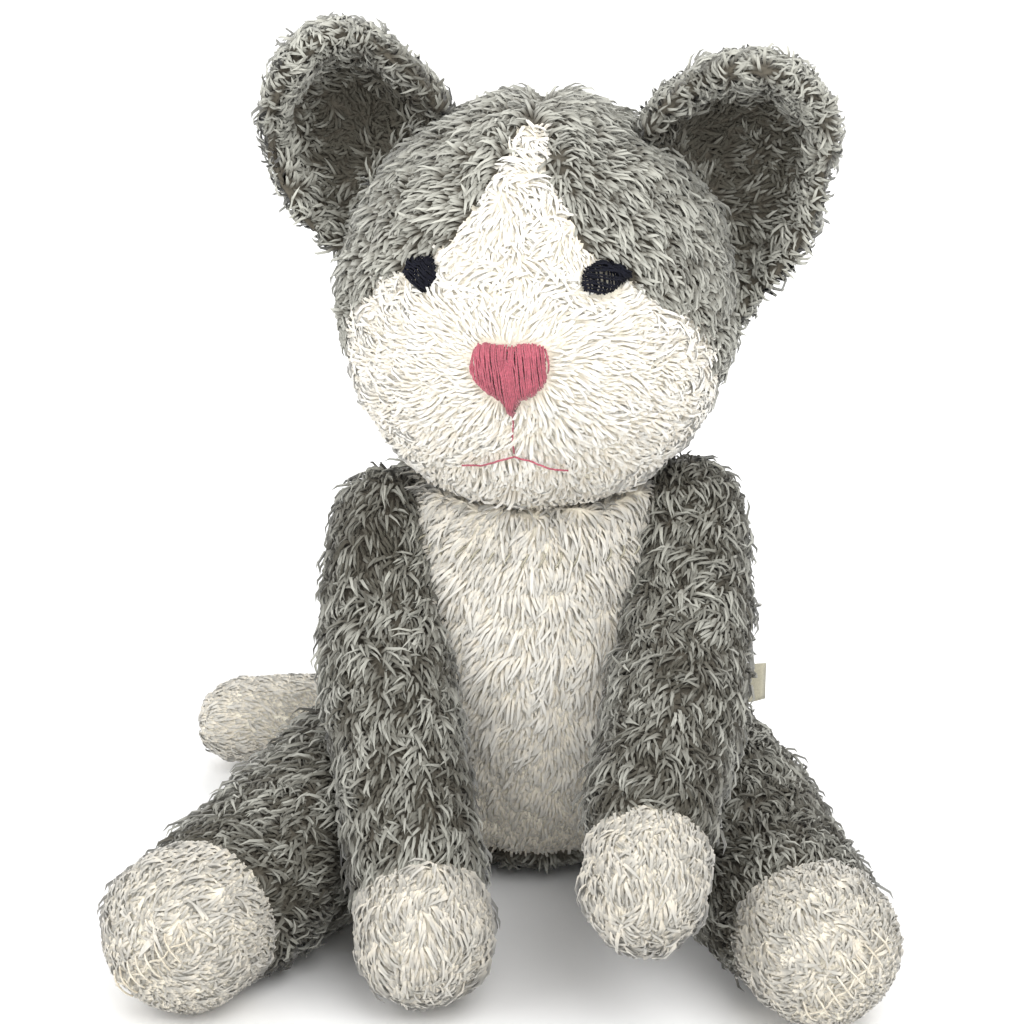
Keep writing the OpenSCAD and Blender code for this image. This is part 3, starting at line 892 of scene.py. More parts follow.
def pile_tree():
    found = bpy.data.node_groups.get("Pile")
    if found:
        return found, json.loads(found["ids"])
    t = Tree("Pile", [
        ("Spacing", "Float"), ("Length", "Float"), ("Width", "Float"), ("Lean", "Float"),
        ("Unruliness", "Float"), ("Swirl", "Float"), ("Patch", "Float"), ("Variety", "Float"), ("Seed",
        "Int"),
        ("Locks", "Collection"), ("Cloth", "Material")])
    spread = t.add(
        "GeometryNodeDistributePointsOnFaces", {"distribute_method": "POISSON"}, Mesh=t.given("Geometry"),
        Distance_Min=t.given("Spacing"), Density_Max=3.0e6, Seed=t.given("Seed"))
    outside = t.add(
        "FunctionNodeCompare", {"data_type": "FLOAT", "operation": "LESS_THAN"}, A=t.attribute("panel"),
        B=0.0)
    kept = t.add(
        "GeometryNodeDeleteGeometry", {"domain": "POINT"}, Geometry=spread.outputs["Points"],
        Selection=outside.outputs[0])
    normal = spread.outputs["Normal"]
    place = t.add("GeometryNodeInputPosition").outputs[0]
    swirl = t.add(
        "ShaderNodeTexNoise", Vector=place, Scale=t.maths("DIVIDE", 1.0, t.given("Swirl")), Detail=1.0)
    stray = t.random((-1, -1, -1), (1, 1, 1), 11, "FLOAT_VECTOR")
    way = t.vector(
        "ADD", t.attribute("nap", "FLOAT_VECTOR"),
        t.scale(t.vector("SUBTRACT", swirl.outputs["Color"], (0.5, 0.5, 0.5)),
                t.maths("MULTIPLY", t.given("Unruliness"), 4.0)))
    way = t.vector("ADD", way, t.scale(stray, t.maths("MULTIPLY", t.given("Unruliness"), 0.4)))
    upright = t.vector("DOT_PRODUCT", way, normal, out="Value")
    flat = t.vector("NORMALIZE", t.vector("SUBTRACT", way, t.scale(normal, upright)))
    lean = t.maths("ADD", t.given("Lean"), t.random(-0.25, 0.25, 12))
    way = t.vector(
        "ADD", t.scale(normal, t.maths("COSINE", lean)), t.scale(flat, t.maths("SINE", lean)))
    turn = t.add("FunctionNodeAlignRotationToVector", {"axis": "Z"}, Vector=way)
    turn = t.add(
        "FunctionNodeAlignRotationToVector", {"axis": "Y", "pivot_axis": "Z"},
        Rotation=turn.outputs[0], Vector=normal)
    width = t.maths("MULTIPLY", t.given("Width"), t.random(0.75, 1.3, 13))
    tuft = t.add("ShaderNodeTexNoise", Vector=place, Scale=t.maths("DIVIDE", 1.6, t.given("Swirl")),
        Detail=0.0)
    heap = t.maths("SUBTRACT", tuft.outputs["Fac"], 0.5)
    tuft = t.maths("MULTIPLY_ADD", heap, 1.8, 1.0)
    length = t.maths("MULTIPLY", t.given("Length"), t.random(0.72, 1.2, 14))
    length = t.maths("MULTIPLY", t.maths("MULTIPLY", length, tuft), t.attribute("trim"))
    size = t.add("ShaderNodeCombineXYZ", X=length, Y=length, Z=length)
    shapes = t.add(
        "GeometryNodeCollectionInfo", {"transform_space": "ORIGINAL"}, Collection=t.given("Locks"),
        Separate_Children=True, Reset_Children=True)
    planted = t.add(
        "GeometryNodeInstanceOnPoints", Points=kept.outputs[0], Instance=shapes.outputs[0],
        Pick_Instance=True,
        Instance_Index=t.random(0, 6, 15, "INT"), Rotation=turn.outputs[0], Scale=size.outputs[0])
    patch = t.add(
        "ShaderNodeTexNoise", Vector=place, Scale=t.maths("DIVIDE", 1.0, t.given("Patch")), Detail=2.0)
    tone = t.maths("MULTIPLY_ADD", patch.outputs["Fac"], 0.9, -0.45)
    # Painted light and shade: taller tufts are made lighter and lower ones darker.
    tone = t.maths("MULTIPLY_ADD", heap, 1.1, tone)
    tone = t.maths("ADD", tone, t.random(-0.2, 0.2, 16))
    tone = t.maths("MULTIPLY_ADD", tone, t.given("Variety"), 0.5)
    # Painted light and shade: each panel's own offset makes its locks lighter or darker.
    tone = t.maths("ADD", tone, t.attribute("tint"))
    tone = t.add("ShaderNodeClamp", Value=tone, Min=0.01, Max=0.99).outputs[0]
    toned = t.add(
        "GeometryNodeStoreNamedAttribute", {"data_type": "FLOAT", "domain": "INSTANCE"},
        Geometry=planted.outputs[0], Name="tone", Value=tone)
    toned = t.add(
        "GeometryNodeStoreNamedAttribute", {"data_type": "FLOAT", "domain": "INSTANCE"},
        Geometry=toned.outputs[0], Name="girth", Value=width)
    turned = t.add("GeometryNodeInputInstanceRotation")
    sideways = t.add(
        "FunctionNodeRotateVector", Vector=(1, 0, 0), Rotation=turned.outputs[0])
    upways = t.add(
        "FunctionNodeRotateVector", Vector=(0, 1, 0), Rotation=turned.outputs[0])
    ahead = t.add(
        "FunctionNodeRotateVector", Vector=(0, 0, 1), Rotation=turned.outputs[0])
    for title, value in (
        ("across", sideways.outputs[0]), ("up", upways.outputs[0]), ("ahead", ahead.outputs[0]), ("skin",
        normal),
    ):
        toned = t.add(
            "GeometryNodeStoreNamedAttribute", {"data_type": "FLOAT_VECTOR", "domain": "INSTANCE"},
            Geometry=toned.outputs[0], Name=title, Value=value)
    real = t.add("GeometryNodeRealizeInstances", Geometry=toned.outputs[0])
    rim = t.add("ShaderNodeSeparateXYZ", Vector=t.attribute("rim", "FLOAT_VECTOR"))
    girth = t.attribute("girth")
    off = t.vector(
        "ADD",
        t.scale(t.attribute("across", "FLOAT_VECTOR"), t.maths("MULTIPLY", girth, rim.outputs[0])),
        t.scale(t.attribute("up", "FLOAT_VECTOR"), t.maths("MULTIPLY", girth, rim.outputs[1])))
    off = t.vector(
        "ADD", off,
        t.scale(t.attribute("ahead", "FLOAT_VECTOR"), t.maths("MULTIPLY", girth, rim.outputs[2])))
    fat = t.add("GeometryNodeSetPosition", Geometry=real.outputs[0], Offset=off)
    flat_map = t.add("ShaderNodeCombineXYZ", X=t.attribute("tone"), Y=t.attribute("along"))
    mapped = t.add(
        "GeometryNodeStoreNamedAttribute", {"data_type": "FLOAT2", "domain": "CORNER"},
        Geometry=fat.outputs[0], Name="OFBake", Value=flat_map.outputs[0])
    done = mapped
    for title in ("tone", "along", "rim", "girth", "across", "up", "ahead"):
        done = t.add("GeometryNodeRemoveAttribute", Geometry=done.outputs[0], Name=title)
    done = t.add("GeometryNodeSetMaterial", Geometry=done.outputs[0], Material=t.given("Cloth"))
    t.tree.links.new(done.outputs[0], t.end.inputs[0])
    t.tree["ids"] = json.dumps(t.ids)
    return t.tree, t.ids


def run_tree(source, tree, ids, name, values):
    """The plain mesh that a tree makes from an object, as an object of its own."""
    modifier = source.modifiers.new("Made by nodes", "NODES")
    modifier.node_group = tree
    for title, value in values.items():
        modifier[ids[title]] = value
    bpy.context.view_layer.update()
    graph = bpy.context.evaluated_depsgraph_get()
    mesh = bpy.data.meshes.new_from_object(
        source.evaluated_get(graph), preserve_all_data_layers=True, depsgraph=graph)
    source.modifiers.remove(modifier)
    if not len(mesh.polygons):
        raise RuntimeError(f"{name} came out empty")
    mesh.name = name
    made = bpy.data.objects.new(name, mesh)
    bpy.context.scene.collection.objects.link(made)
    return made


PILE_KINDS = {
    "grey": {
        "spacing": 1.0, "width": 1.0, "lean": 0.4, "unruliness": 0.8, "variety": 1.0, "cloth_normal": 0.6},
    "cream": {
        "spacing": 0.84, "width": 0.98, "lean": 0.5, "unruliness": 0.6, "variety": 0.3, "cloth_normal": 0.92},
}
FLOOR_GIVE = 0.9


def plant(cover, node_name, body, distance, nap, kind, tint=0.0, trim=1.0, **change):
    """Plants one panel's pile on its cover."""
    pile = bpy.context.scene.cat_pile
    look = PILE_KINDS[kind]
    mesh = cover.data
    count = len(mesh.vertices)
    write_floats(mesh, "panel", distance)
    write_floats(mesh, "nap", nap, "FLOAT_VECTOR")
    write_floats(mesh, "tint", np.broadcast_to(tint, count))
    write_floats(mesh, "trim", np.broadcast_to(trim, count))
    tree, ids = pile_tree()
    values = {
        "Spacing": pile.spacing * look["spacing"],
        "Length": pile.grey_length if kind == "grey" else pile.cream_length,
        "Width": pile.lock_width * look["width"],
        "Lean": look["lean"], "Unruliness": look["unruliness"], "Variety": look["variety"],
        "Swirl": 0.0062, "Patch": 0.02, "Seed": pile.seed, "Locks": lock_shapes(),
        "Cloth": material("Grey pile" if kind == "grey" else "Cream pile")}
    for key, value in change.items():
        values[key] = values[key] * value if key in ("Spacing", "Length", "Width") else value
    made = run_tree(cover, tree, ids, f"{node_name}_pile", values)
    p = coords(made.data)
    height = p[:, 2]
    pressed = FLOOR_GIVE * np.exp((height - FLOOR_GIVE) / FLOOR_GIVE)
    p[:, 2] = np.where(height < FLOOR_GIVE, pressed, height)
    set_coords(made.data, p)
    skin = np.empty(len(p) * 3, np.float32)
    made.data.attributes["skin"].data.foreach_get("vector", skin)
    made.data.attributes.remove(made.data.attributes["skin"])
    share = look["cloth_normal"]
    blend = unit(share * skin.reshape(-1, 3) + (1 - share) * normals(made.data))
    made.data.normals_split_custom_set_from_vertices(blend.tolist())
    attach(made, body)
    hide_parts(node_name)
    return made


def finish_cover(cover, body, panels, cream, nodes):
    """Gives a stuffed cover its two backing cloths, coloured as painted shade between the locks, and its
    place in the frame.
    """
    mesh = cover.data
    mesh.materials.clear()
    mesh.materials.append(material("Grey backing"))
    mesh.materials.append(material("Cream backing"))
    centre = np.empty(len(mesh.polygons) * 3, np.float32)
    mesh.polygons.foreach_get("center", centre)
    centre = centre.reshape(-1, 3).astype(float) * 1000
    d = panels(centre)
    light = np.max([d[name] for name in cream], 0) > 0 if cream else np.zeros(len(centre), bool)
    mesh.polygons.foreach_set("material_index", light.astype(np.int32))
    for name in ("panel", "nap", "tint", "trim"):
        mesh.attributes.remove(mesh.attributes[name])
    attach(cover, body)
    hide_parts(*nodes)


COVERS = {}
PANELS = {}


def cover_of(name):
    if name not in COVERS:
        raise RuntimeError(f"make the covers before the pile of {name}")
    cover = COVERS[name]
    return cover, coords(cover.data), PANELS[name]


# ---- threads -----------------------------------------------------------------------------------


def thread_tree():
    found = bpy.data.node_groups.get("Thread")
    if found:
        return found, json.loads(found["ids"])
    t = Tree("Thread", [("Radius", "Float"), ("Twist", "Float"), ("Step", "Float"), ("Yarn", "Material")])
    line = t.add("GeometryNodeMeshToCurve", Mesh=t.given("Geometry"))
    even = t.add(
        "GeometryNodeResampleCurve", {"mode": "LENGTH"}, Curve=line.outputs[0], Length=t.given("Step"))
    gone = t.add("GeometryNodeSplineParameter").outputs["Length"]
    wound = t.add(
        "GeometryNodeSetCurveTilt", Curve=even.outputs[0], Tilt=t.maths("DIVIDE", gone, t.given("Twist")))
    ring = t.add(
        "GeometryNodeCurvePrimitiveCircle", Resolution=6, Radius=t.given("Radius"))
    place = t.add("GeometryNodeInputIndex").outputs[0]
    odd = t.maths("MODULO", place, 2.0)
    squeeze = t.maths("MULTIPLY_ADD", odd, -0.32, 1.0)
    spot = t.add("GeometryNodeInputPosition").outputs[0]
    plies = t.add(
        "GeometryNodeSetPosition", Geometry=ring.outputs[0], Position=t.scale(spot, squeeze))
    tube = t.add(
        "GeometryNodeCurveToMesh", Curve=wound.outputs[0], Profile_Curve=plies.outputs[0], Fill_Caps=True)
    smooth = t.add("GeometryNodeSetShadeSmooth", Geometry=tube.outputs[0], Shade_Smooth=True)
    real = t.add("GeometryNodeRealizeInstances", Geometry=smooth.outputs[0])
    done = t.add("GeometryNodeSetMaterial", Geometry=real.outputs[0], Material=t.given("Yarn"))
    t.tree.links.new(done.outputs[0], t.end.inputs[0])
    t.tree["ids"] = json.dumps(t.ids)
    return t.tree, t.ids


def lay_threads(name, runs, body, radius, finish, nodes, twist=0.00035, step=0.0006):
    """Lays a thread along each run of points, and makes one piece of them."""
    points, edges = [], []
    for run in runs:
        first = len(points)
        points += [list(p) for p in run]
        edges += [(i, i + 1) for i in range(first, len(points) - 1)]
    guide = new_object(f"{name}_guide", points, [], edges)
    tree, ids = thread_tree()
    made = run_tree(
        guide, tree, ids, name,
        {"Radius": radius * MM, "Twist": twist, "Step": step, "Yarn": material(finish)})
    bpy.data.objects.remove(guide)
    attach(made, body)
    if nodes:
        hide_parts(*nodes)
    return made


class Skin:
    """Finds points on a finished cover."""

    def __init__(self, cover):
        self.tree = BVHTree.FromObject(cover, bpy.context.evaluated_depsgraph_get())

    def along(self, start, way):
        hit, normal, _, _ = self.tree.ray_cast(Vector(start) * MM, Vector(way))
        if hit is None:
            raise RuntimeError("a thread missed its cover")
        return 1000 * np.array(hit), np.array(normal)


def face_point(skin, x, z, lift):
    """A point over the face, some way in front of the cloth, from its place in the face's frame."""
    start = from_face(np.array([x, -90.0, z]))
    way = from_face(np.array([x, 0.0, z])) - start
    hit, normal = skin.along(start, unit(way))
    return hit + lift * normal


def satin(skin, outline, gap, tilt, lift, crown, seed, wander):
    """Parallel stitches that fill an outline, crowned in the middle, with slightly uneven ends."""
    rng = np.random.default_rng(seed)
    c, s = math.cos(tilt), math.sin(tilt)
    turned = outline @ np.array([[c, -s], [s, c]])
    low, high = turned[:, 0].min(), turned[:, 0].max()
    width = (high - low) / 2
    runs = []
    for x in np.arange(low + gap / 2, high, gap):
        x += rng.uniform(-0.12, 0.12) * gap
        crossings = []
        for a, b in zip(turned, np.roll(turned, -1, axis=0)):
            if (a[0] - x) * (b[0] - x) < 0:
                crossings.append(a[1] + (b[1] - a[1]) * (x - a[0]) / (b[0] - a[0]))
        if len(crossings) < 2:
            continue
        start = min(crossings) + rng.uniform(-wander, wander)
        end = max(crossings) + rng.uniform(-wander, wander)
        sway = rng.uniform(-0.25, 0.25)
        across = 1 - ((x - (low + high) / 2) / width) ** 2
        steps = max(4, int((end - start) / 0.9))
        run = []
        for k in range(steps + 1):
            t = k / steps
            arch = min(1, 4.5 * t * (1 - t) * 1.6) ** 0.6
            u = np.array([x + sway * math.sin(math.pi * t), start + t * (end - start)])
            u = np.array([[c, -s], [s, c]]) @ u
            run.append(face_point(skin, u[0], u[1], lift - 1.4 * (1 - arch) + crown * across * arch))
        runs.append(run)
    return runs


# ---- operators ---------------------------------------------------------------------------------


class CAT_OT_covers(bpy.types.Operator):
    """Cut every cover and fill it out with stuffing"""

    bl_idname = "cat.covers"
    bl_label = "Covers"

    def execute(self, context):
        rows = cover_list()
        COVERS.update(stuff_covers(rows, context.scene.cat_cloth))
        PANELS.update({name: panels for name, _, _, panels in rows})
        return {"FINISHED"}


class CAT_OT_torso(bpy.types.Operator):
    """Plant the pile of the torso's four panels"""

    bl_idname = "cat.torso"
    bl_label = "Torso"

    def execute(self, context):
        cover, p, panels = cover_of("torso_cover")
        d = panels(p)
        back = np.stack([0.2 * np.sign(p[:, 0]), 0 * p[:, 0], np.full(len(p), -0.55)], 1)
        front = np.stack([p[:, 0] / 55, 0 * p[:, 0], np.full(len(p), -1.0)], 1)
        # Painted shade: the back and seat pile is darker overall and darker still towards the floor.
        shade = -0.2 * ease(30, 4, p[:, 2]) - 0.15
        for name in ("torso_back_left", "torso_back_right"):
            plant(cover, name, "torso", d[name], back, "grey", shade)
        plant(
            cover, "torso_seat_panel", "torso", d["torso_seat_panel"], back, "grey", shade,
            Length=0.6, Spacing=1.15)
        # Painted shade: the bib is darker overall, darker under the chin and darker towards the bottom.
        warm_shade = -0.1 * ease(70, 92, p[:, 2]) - 0.25 - 0.2 * ease(50, 25, p[:, 2])
        smooth = 1 - 0.45 * ease(52, 25, p[:, 2])
        plant(cover, "torso_bib", "torso", d["torso_bib"], front, "cream", warm_shade, smooth, Length=1.0, Lean=0.6)
        finish_cover(cover, "torso", panels, ["torso_bib"], list(d))
        return {"FINISHED"}


class CAT_OT_head(bpy.types.Operator):
    """Plant the pile of the face and the crown"""

    bl_idname = "cat.head"
    bl_label = "Head"

    def execute(self, context):
        cover, p, panels = cover_of("head_cover")
        d, q = panels(p), to_face(p)
        away = q - np.array([0, -45.0, -1.0])
        away[:, 1] = 0
        away = unit(away)
        blaze = ease(8, 22, q[:, 2])[:, None]
        face = away * (1 - blaze) + np.array([0, 0, -0.75]) * blaze + 0.35 * blaze * away
        brow = np.stack([0.7 * np.sign(q[:, 0]), 0.25 + 0 * q[:, 0], np.full(len(q), -0.75)], 1)
        c, s = math.cos(FACE_TURN), math.sin(FACE_TURN)
        turn = np.array([[c, -s, 0], [s, c, 0], [0, 0, 1]])
        bare = inside_by(q[:, [0, 2]], NOSE_OUTLINE) + 0.2
        for x, z, w, h in EYES.values():
            bare = np.maximum(bare, (1 - np.hypot((q[:, 0] - x) / w, (q[:, 2] - z) / h)) * h + 0.7)
        bare = np.where(q[:, 1] < 0, bare, -9)
        # Painted light: the crown and, a little more, the face pile are made lighter.
        for name in ("crown_left", "crown_right"):
            plant(
                cover, name, "head", np.minimum(d[name], -bare), brow @ turn, "grey", 0.08,
                Length=0.92, Lean=0.5)
        plant(cover, "face_panel", "head", np.minimum(d["face_panel"], -bare), face @ turn, "cream",
              0.12 + 0 * bare, Length=0.82, Lean=0.72)
        finish_cover(cover, "head", panels, ["face_panel"], list(d))
        return {"FINISHED"}


class CAT_OT_ears(bpy.types.Operator):
    """Plant the pile of both ears"""

    bl_idname = "cat.ears"
    bl_label = "Ears"

    def execute(self, context):
        for side, name in NAMES.items():
            cover, p, panels = cover_of(f"{name}_ear_cover")
            d = panels(p)
            root = np.array([30.0 * side, EAR_Y[side], 158.0])
            nap = unit(p - root) + np.array([0, 0, -0.3])
            deep = np.clip((inside_by(p[:, [0, 2]], rounded(EARS[side], 2)) - 2) / 9, 0, 1)
            inner = ease(52, 30, np.abs(p[:, 0]))
            # Painted light: both ear panels are made lighter; painted shade darkens the lining deep in its
            # hollow and towards the head.
            plant(cover, f"{name}_ear_back", f"{name}_ear", d[f"{name}_ear_back"], nap, "grey", 0.25,
                  Length=0.78)
            plant(cover, f"{name}_ear_lining", f"{name}_ear", d[f"{name}_ear_lining"], 0.5 * nap, "grey",
                  0.25 - (0.8 if side == LEFT else 0.95) * deep - 0.5 * inner, 1 - 0.15 * deep, Length=0.78)
            finish_cover(cover, f"{name}_ear", panels, [], list(d))
        return {"FINISHED"}


class CAT_OT_arms(bpy.types.Operator):
    """Plant the pile of both arms"""

    bl_idname = "cat.arms"
    bl_label = "Arms"

    def execute(self, context):
        for side, name in NAMES.items():
            cover, p, panels = cover_of(f"{name}_arm_cover")
            d = panels(p)
            along, _, _ = limb_axes(SHOULDER[side], PAW_AT[side])
            nap = np.repeat(along[None] * 0.75 + np.array([[0, 0, -0.2]]), len(p), 0)
            # Painted shade: the sleeves and, more strongly, the paws are made darker.
            plant(cover, f"{name}_arm_sleeve", f"{name}_arm", d[f"{name}_arm_sleeve"], nap, "grey", -0.32)
            plant(cover, f"{name}_paw", f"{name}_arm", d[f"{name}_paw"], nap, "cream", -0.5, Length=0.86,
                Lean=0.75,
                  Unruliness=0.6)
            finish_cover(cover, f"{name}_arm", panels, [f"{name}_paw"], list(d))
        return {"FINISHED"}


class CAT_OT_legs(bpy.types.Operator):
    """Plant the pile of both legs"""

    bl_idname = "cat.legs"
    bl_label = "Legs"

    def execute(self, context):
        for side, name in NAMES.items():
            cover, p, panels = cover_of(f"{name}_leg_cover")
            d = panels(p)
            along, _, _ = limb_axes(HIP[side], FOOT_AT[side])
            nap = np.repeat(along[None] * 0.75, len(p), 0)
            # Painted shade: the leg pile is darker overall and darker still towards the floor; the feet are
            # darker again.
            shade = -0.1 * ease(30, 5, p[:, 2]) - 0.34
            plant(cover, f"{name}_leg_sleeve", f"{name}_leg", d[f"{name}_leg_sleeve"], nap, "grey", shade)
            worn = ease(0, -9, (p - FOOT_AT[side]) @ np.array([-0.45 * side, 0, 0.9]))
            plant(cover, f"{name}_foot", f"{name}_leg", d[f"{name}_foot"], nap, "cream", shade - 0.16,
                  1 - 0.5 * worn, Length=0.78, Lean=0.75, Unruliness=0.6)
            finish_cover(cover, f"{name}_leg", panels, [f"{name}_foot"], list(d))
        return {"FINISHED"}


class CAT_OT_tail(bpy.types.Operator):
    """Plant the pile of the tail"""

    bl_idname = "cat.tail"
    bl_label = "Tail"

    def execute(self, context):
        cover, p, panels = cover_of("tail_cover")
        d = panels(p)
        nap = np.repeat(unit(TAIL_TIP_AT - TAIL_ROOT)[None], len(p), 0)
        # Painted shade: the tail is made darker, its cream tip more so.
        plant(cover, "tail_sleeve", "tail", d["tail_sleeve"], nap, "grey", -0.25, Length=0.85)
        plant(cover, "tail_tip", "tail", d["tail_tip"], nap, "cream", -0.4, Length=0.5, Lean=0.7)
        finish_cover(cover, "tail", panels, ["tail_tip"], list(d))
        return {"FINISHED"}


class CAT_OT_face_thread(bpy.types.Operator):
    """Embroider the eyes, nose and mouth"""

    bl_idname = "cat.face_thread"
    bl_label = "Embroidery"

    def execute(self, context):
        skin = Skin(COVERS["head_cover"])
        nose = satin(skin, NOSE_OUTLINE * 0.93, 0.42, 1.5, 1.5, 0.6, 1, 0.2)
        nose += satin(skin, NOSE_OUTLINE, 0.38, 0.12, 2.3, 1.0, 2, 0.3)
        lay_threads("nose_satin", nose, "head", 0.29, "Rose thread", ["nose_embroidery"])
        for side, (x, z, w, h) in EYES.items():
            a = np.linspace(0, 2 * math.pi, 40, endpoint=False)
            rim = 1 + 0.07 * np.sin(3 * a + side) + 0.05 * np.sin(5 * a + 2)
            oval = np.stack([x + w * rim * np.cos(a), z + h * rim * np.sin(a)], 1)
            runs = satin(skin, oval, 0.42, 0.3, 1.9, 0.6, 3, 0.35)
            runs += satin(skin, oval, 0.38, 1.15, 2.5, 0.9, 4 + side, 0.5)
            name = NAMES[side]
            lay_threads(
                f"{name}_eye_satin", runs, "head", 0.29, "Eye thread", [f"{name}_eye"])
        rows = [[(0, -9.5), (0.3, -14), (-0.2, -19), (0, -23.6)]]
        for side in (LEFT, RIGHT):
            rows.append([(0, -23.4), (side * 3.5, -24.6), (side * 7.5, -26.6), (side * 12.2, -27.2)])
        runs = []
        for number, row in enumerate(rows):
            row = np.array(row, float)
            t = np.linspace(0, len(row) - 1, 22)
            line = np.stack([np.interp(t, range(len(row)), row[:, k]) for k in (0, 1)], 1)
            runs.append([face_point(skin, x, z, 2.1 if number else 0.7) for x, z in line])
        lay_threads("mouth_stitches", runs, "head", 0.3, "Rose thread", ["mouth_thread"])
        return {"FINISHED"}


class CAT_OT_seam_thread(bpy.types.Operator):
    """Sew the neck and the soles"""

    bl_idname = "cat.seam_thread"
    bl_label = "Hand seams"

    def execute(self, context):
        skin = Skin(COVERS["torso_cover"])
        runs = []
        stitches, seam_low, seam_rise, far = 56, 84.5, 3.4, 90
        for k in range(stitches):
            a = 2 * math.pi * k / stitches
            run = []
            for t in np.linspace(0, 1, 5):
                turn = a + 0.05 * t
                z = seam_low + seam_rise * t
                start = np.array([far * math.cos(turn), far * math.sin(turn), z])
                hit, normal = skin.along(start, unit(np.array([0, 0, z]) - start))
                run.append(hit + normal * (0.6 + 2.0 * math.sin(math.pi * t)))
            runs.append(run)
        lay_threads(
            "neck_ladder_stitches", runs, "torso", 0.34, "Seam thread", ["neck_seam_thread"])
        for side, name in NAMES.items():
            along, across, top = limb_axes(HIP[side], FOOT_AT[side])
            skin = Skin(COVERS[f"{name}_leg_cover"])
            ways = unit(across + top * 0.9), unit(top - across * 0.9)

            def sole(u, v, lift):
                start = HIP[side] + along * (LEG_LEN + 40) + ways[0] * u + ways[1] * v
                hit, normal = skin.along(start, -along)
                return hit + normal * lift

            runs = [[sole(u, 0.5 * math.sin(u), 2.0) for u in np.linspace(-12, 12, 25)]]
            for k, u in enumerate(np.arange(-10.5, 11, 3.0)):
                runs.append([sole(u + 0.5 * t, 3.4 * t, 2.5 - 1.2 * t * t) for t in np.linspace(-1, 1, 7)])
            lay_threads(f"{name}_sole_stitches", runs, f"{name}_leg", 0.3, "Sole thread",
                        [f"{name}_sole_thread"])
        return {"FINISHED"}


class CAT_OT_label(bpy.types.Operator):
    """Sew in the folded blank label"""

    bl_idname = "cat.label"
    bl_label = "Label"

    def execute(self, context):
        lo, hi = box_mm("care_label")
        rows, columns = 9, 24
        reach = 18.0
        points, faces = [], []
        for i in range(rows):
            z = lo[2] - 0.6 + (hi[2] - lo[2] + 1.2) * i / (rows - 1)
            for j in range(columns + 1):
                t = j / columns
                out = reach * (1 - abs(2 * t - 1))
                fold = math.copysign(1, t - 0.5) * 0.55 * min(1, 6 * abs(2 * t - 1))
                curl = 2.2 * (out / reach) ** 2 + 0.5 * math.sin(i * 0.6) * (out / reach)
                rise = 0.9 * (out / reach) ** 2
                points.append((lo[0] - 1.5 + out, (lo[1] + hi[1]) / 2 + fold + curl, z + rise))
        for i in range(rows - 1):
            for j in range(columns):
                a = i * (columns + 1) + j
                faces.append((a, a + 1, a + columns + 2, a + columns + 1))
        label = new_object("blank_label", points, faces)
        for f in label.data.polygons:
            f.use_smooth = True
        thick = label.modifiers.new("Cloth thickness", "SOLIDIFY")
        thick.thickness, thick.offset = 0.00035, 0
        settle_modifiers(label)
        label.data.materials.append(material("Label cloth"))
        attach(label, "torso")
        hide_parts("care_label")
        return {"FINISHED"}


class CAT_OT_wadding(bpy.types.Operator):
    """Fill the covers with lumps of wadding"""

    bl_idname = "cat.wadding"
    bl_label = "Wadding"

    def execute(self, context):
        for name, body in sorted((n, o["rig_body"]) for n,
            o in frame["nodes"].items() if n.endswith("stuffing")):
            cover = COVERS.get(name.replace("stuffing", "cover"))
            source = cover or frame["nodes"][name]
            lump = bpy.data.objects.new(f"{name}_wadding", source.data.copy())
            context.scene.collection.objects.link(lump)
            face_outwards(lump)
            even = lump.modifiers.new("Even grid", "REMESH")
            even.mode, even.voxel_size = "VOXEL", 0.0035
            settle_modifiers(lump)
            p, n = coords(lump.data), normals(lump.data)
            deep = (3.0 if cover else 1.2) + 0.8 * waves(p, 11, 9) + 0.3 * waves(p, 5, 8)
            set_coords(lump.data, p - n * deep[:, None])
            for f in lump.data.polygons:
                f.use_smooth = True
            lump.data.materials.clear()
            lump.data.materials.append(material("Wadding"))
            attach(lump, body)
            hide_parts(name)
        return {"FINISHED"}


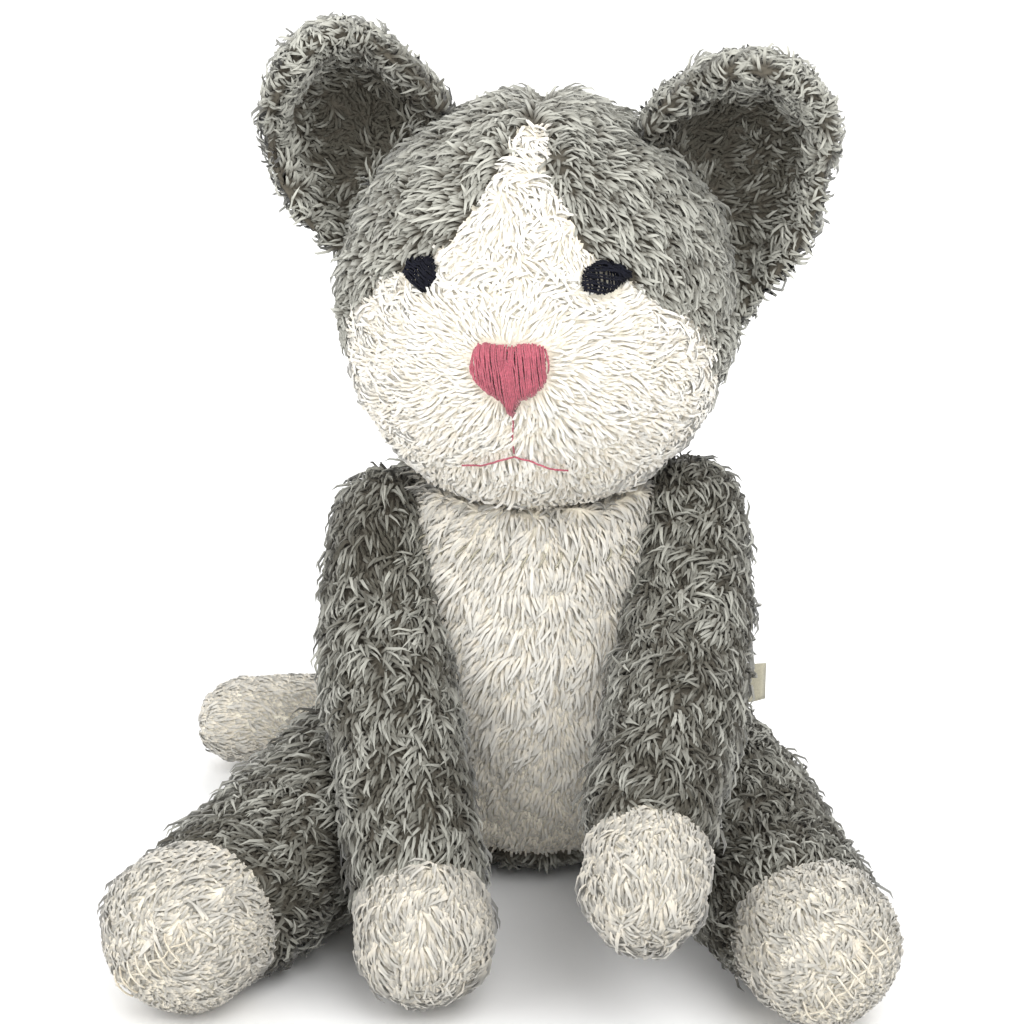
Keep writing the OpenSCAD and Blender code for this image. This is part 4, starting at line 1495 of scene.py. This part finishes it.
class CAT_OT_stage(bpy.types.Operator):
    """Set out the floor, lights and camera"""

    bl_idname = "cat.stage"
    bl_label = "Stage"

    def execute(self, context):
        scene, stage = context.scene, context.scene.cat_stage
        far = 2500
        floor = new_object(
            "floor", [(-far, -far, 0), (far, -far, 0), (far, far, 0), (-far, far, 0)], [(0, 1, 2, 3)])
        floor.data.materials.append(material("Floor paper"))
        aim = Vector(stage.aim)
        back = Vector((0, -math.cos(stage.height), math.sin(stage.height)))
        data = bpy.data.cameras.new("camera")
        data.sensor_width = 36
        data.lens = 36 * stage.distance / stage.span
        data.clip_start, data.clip_end = 0.01, 20
        camera = bpy.data.objects.new("camera", data)
        scene.collection.objects.link(camera)
        camera.location = aim + back * stage.distance
        camera.rotation_euler = (math.pi / 2 - stage.height, 0, 0)
        scene.camera = camera
        for name, place, size, power in (
            ("key light", (0.4, -0.75, 1.05), 0.9, 9.5),
            ("fill light", (-0.85, -0.6, 0.6), 0.9, 5.0),
            ("back light", (0.1, 0.9, 0.9), 0.8, 5.0),
        ):
            lamp = bpy.data.lights.new(name, "AREA")
            lamp.size, lamp.energy = size, power
            shown = bpy.data.objects.new(name, lamp)
            scene.collection.objects.link(shown)
            shown.location = place
            shown.rotation_euler = (aim - Vector(place)).to_track_quat("-Z", "Y").to_euler()
        world = bpy.data.worlds.new("studio")
        world.use_nodes = True
        world.node_tree.nodes["Background"].inputs["Color"].default_value = (1, 1, 1, 1)
        world.node_tree.nodes["Background"].inputs["Strength"].default_value = 1.0
        scene.world = world
        scene.view_settings.view_transform = "Standard"
        return {"FINISHED"}


class CAT_PT_looks(bpy.types.Panel):
    """Lists the toy's pieces and their settings"""

    bl_label = "Cuddly Cat"
    bl_idname = "CAT_PT_looks"
    bl_space_type = "VIEW_3D"
    bl_region_type = "UI"
    bl_category = "Cuddly Cat"

    def draw(self, context):
        for group in ("cat_cloth", "cat_pile", "cat_colours", "cat_stage"):
            box = self.layout.box()
            values = getattr(context.scene, group)
            for key in values.__annotations__:
                box.prop(values, key)
        for operator in OPERATORS:
            self.layout.operator(operator.bl_idname)


GROUPS = {
    "cat_cloth": ClothProperties, "cat_pile": PileProperties, "cat_colours": ColourProperties,
    "cat_stage": StageProperties}
OPERATORS = (
    CAT_OT_covers, CAT_OT_torso, CAT_OT_head, CAT_OT_ears, CAT_OT_arms, CAT_OT_legs, CAT_OT_tail,
    CAT_OT_face_thread, CAT_OT_seam_thread, CAT_OT_label, CAT_OT_wadding, CAT_OT_stage)


def register():
    for kind in (*GROUPS.values(), *OPERATORS, CAT_PT_looks):
        bpy.utils.register_class(kind)
    for name, kind in GROUPS.items():
        setattr(bpy.types.Scene, name, bpy.props.PointerProperty(type=kind))


def unregister():
    for name in GROUPS:
        delattr(bpy.types.Scene, name)
    for kind in reversed((*GROUPS.values(), *OPERATORS, CAT_PT_looks)):
        bpy.utils.unregister_class(kind)


def main():
    register()
    for operator in OPERATORS:
        space, name = operator.bl_idname.split(".")
        getattr(getattr(bpy.ops, space), name)()


if __name__ == "__main__":
    main()
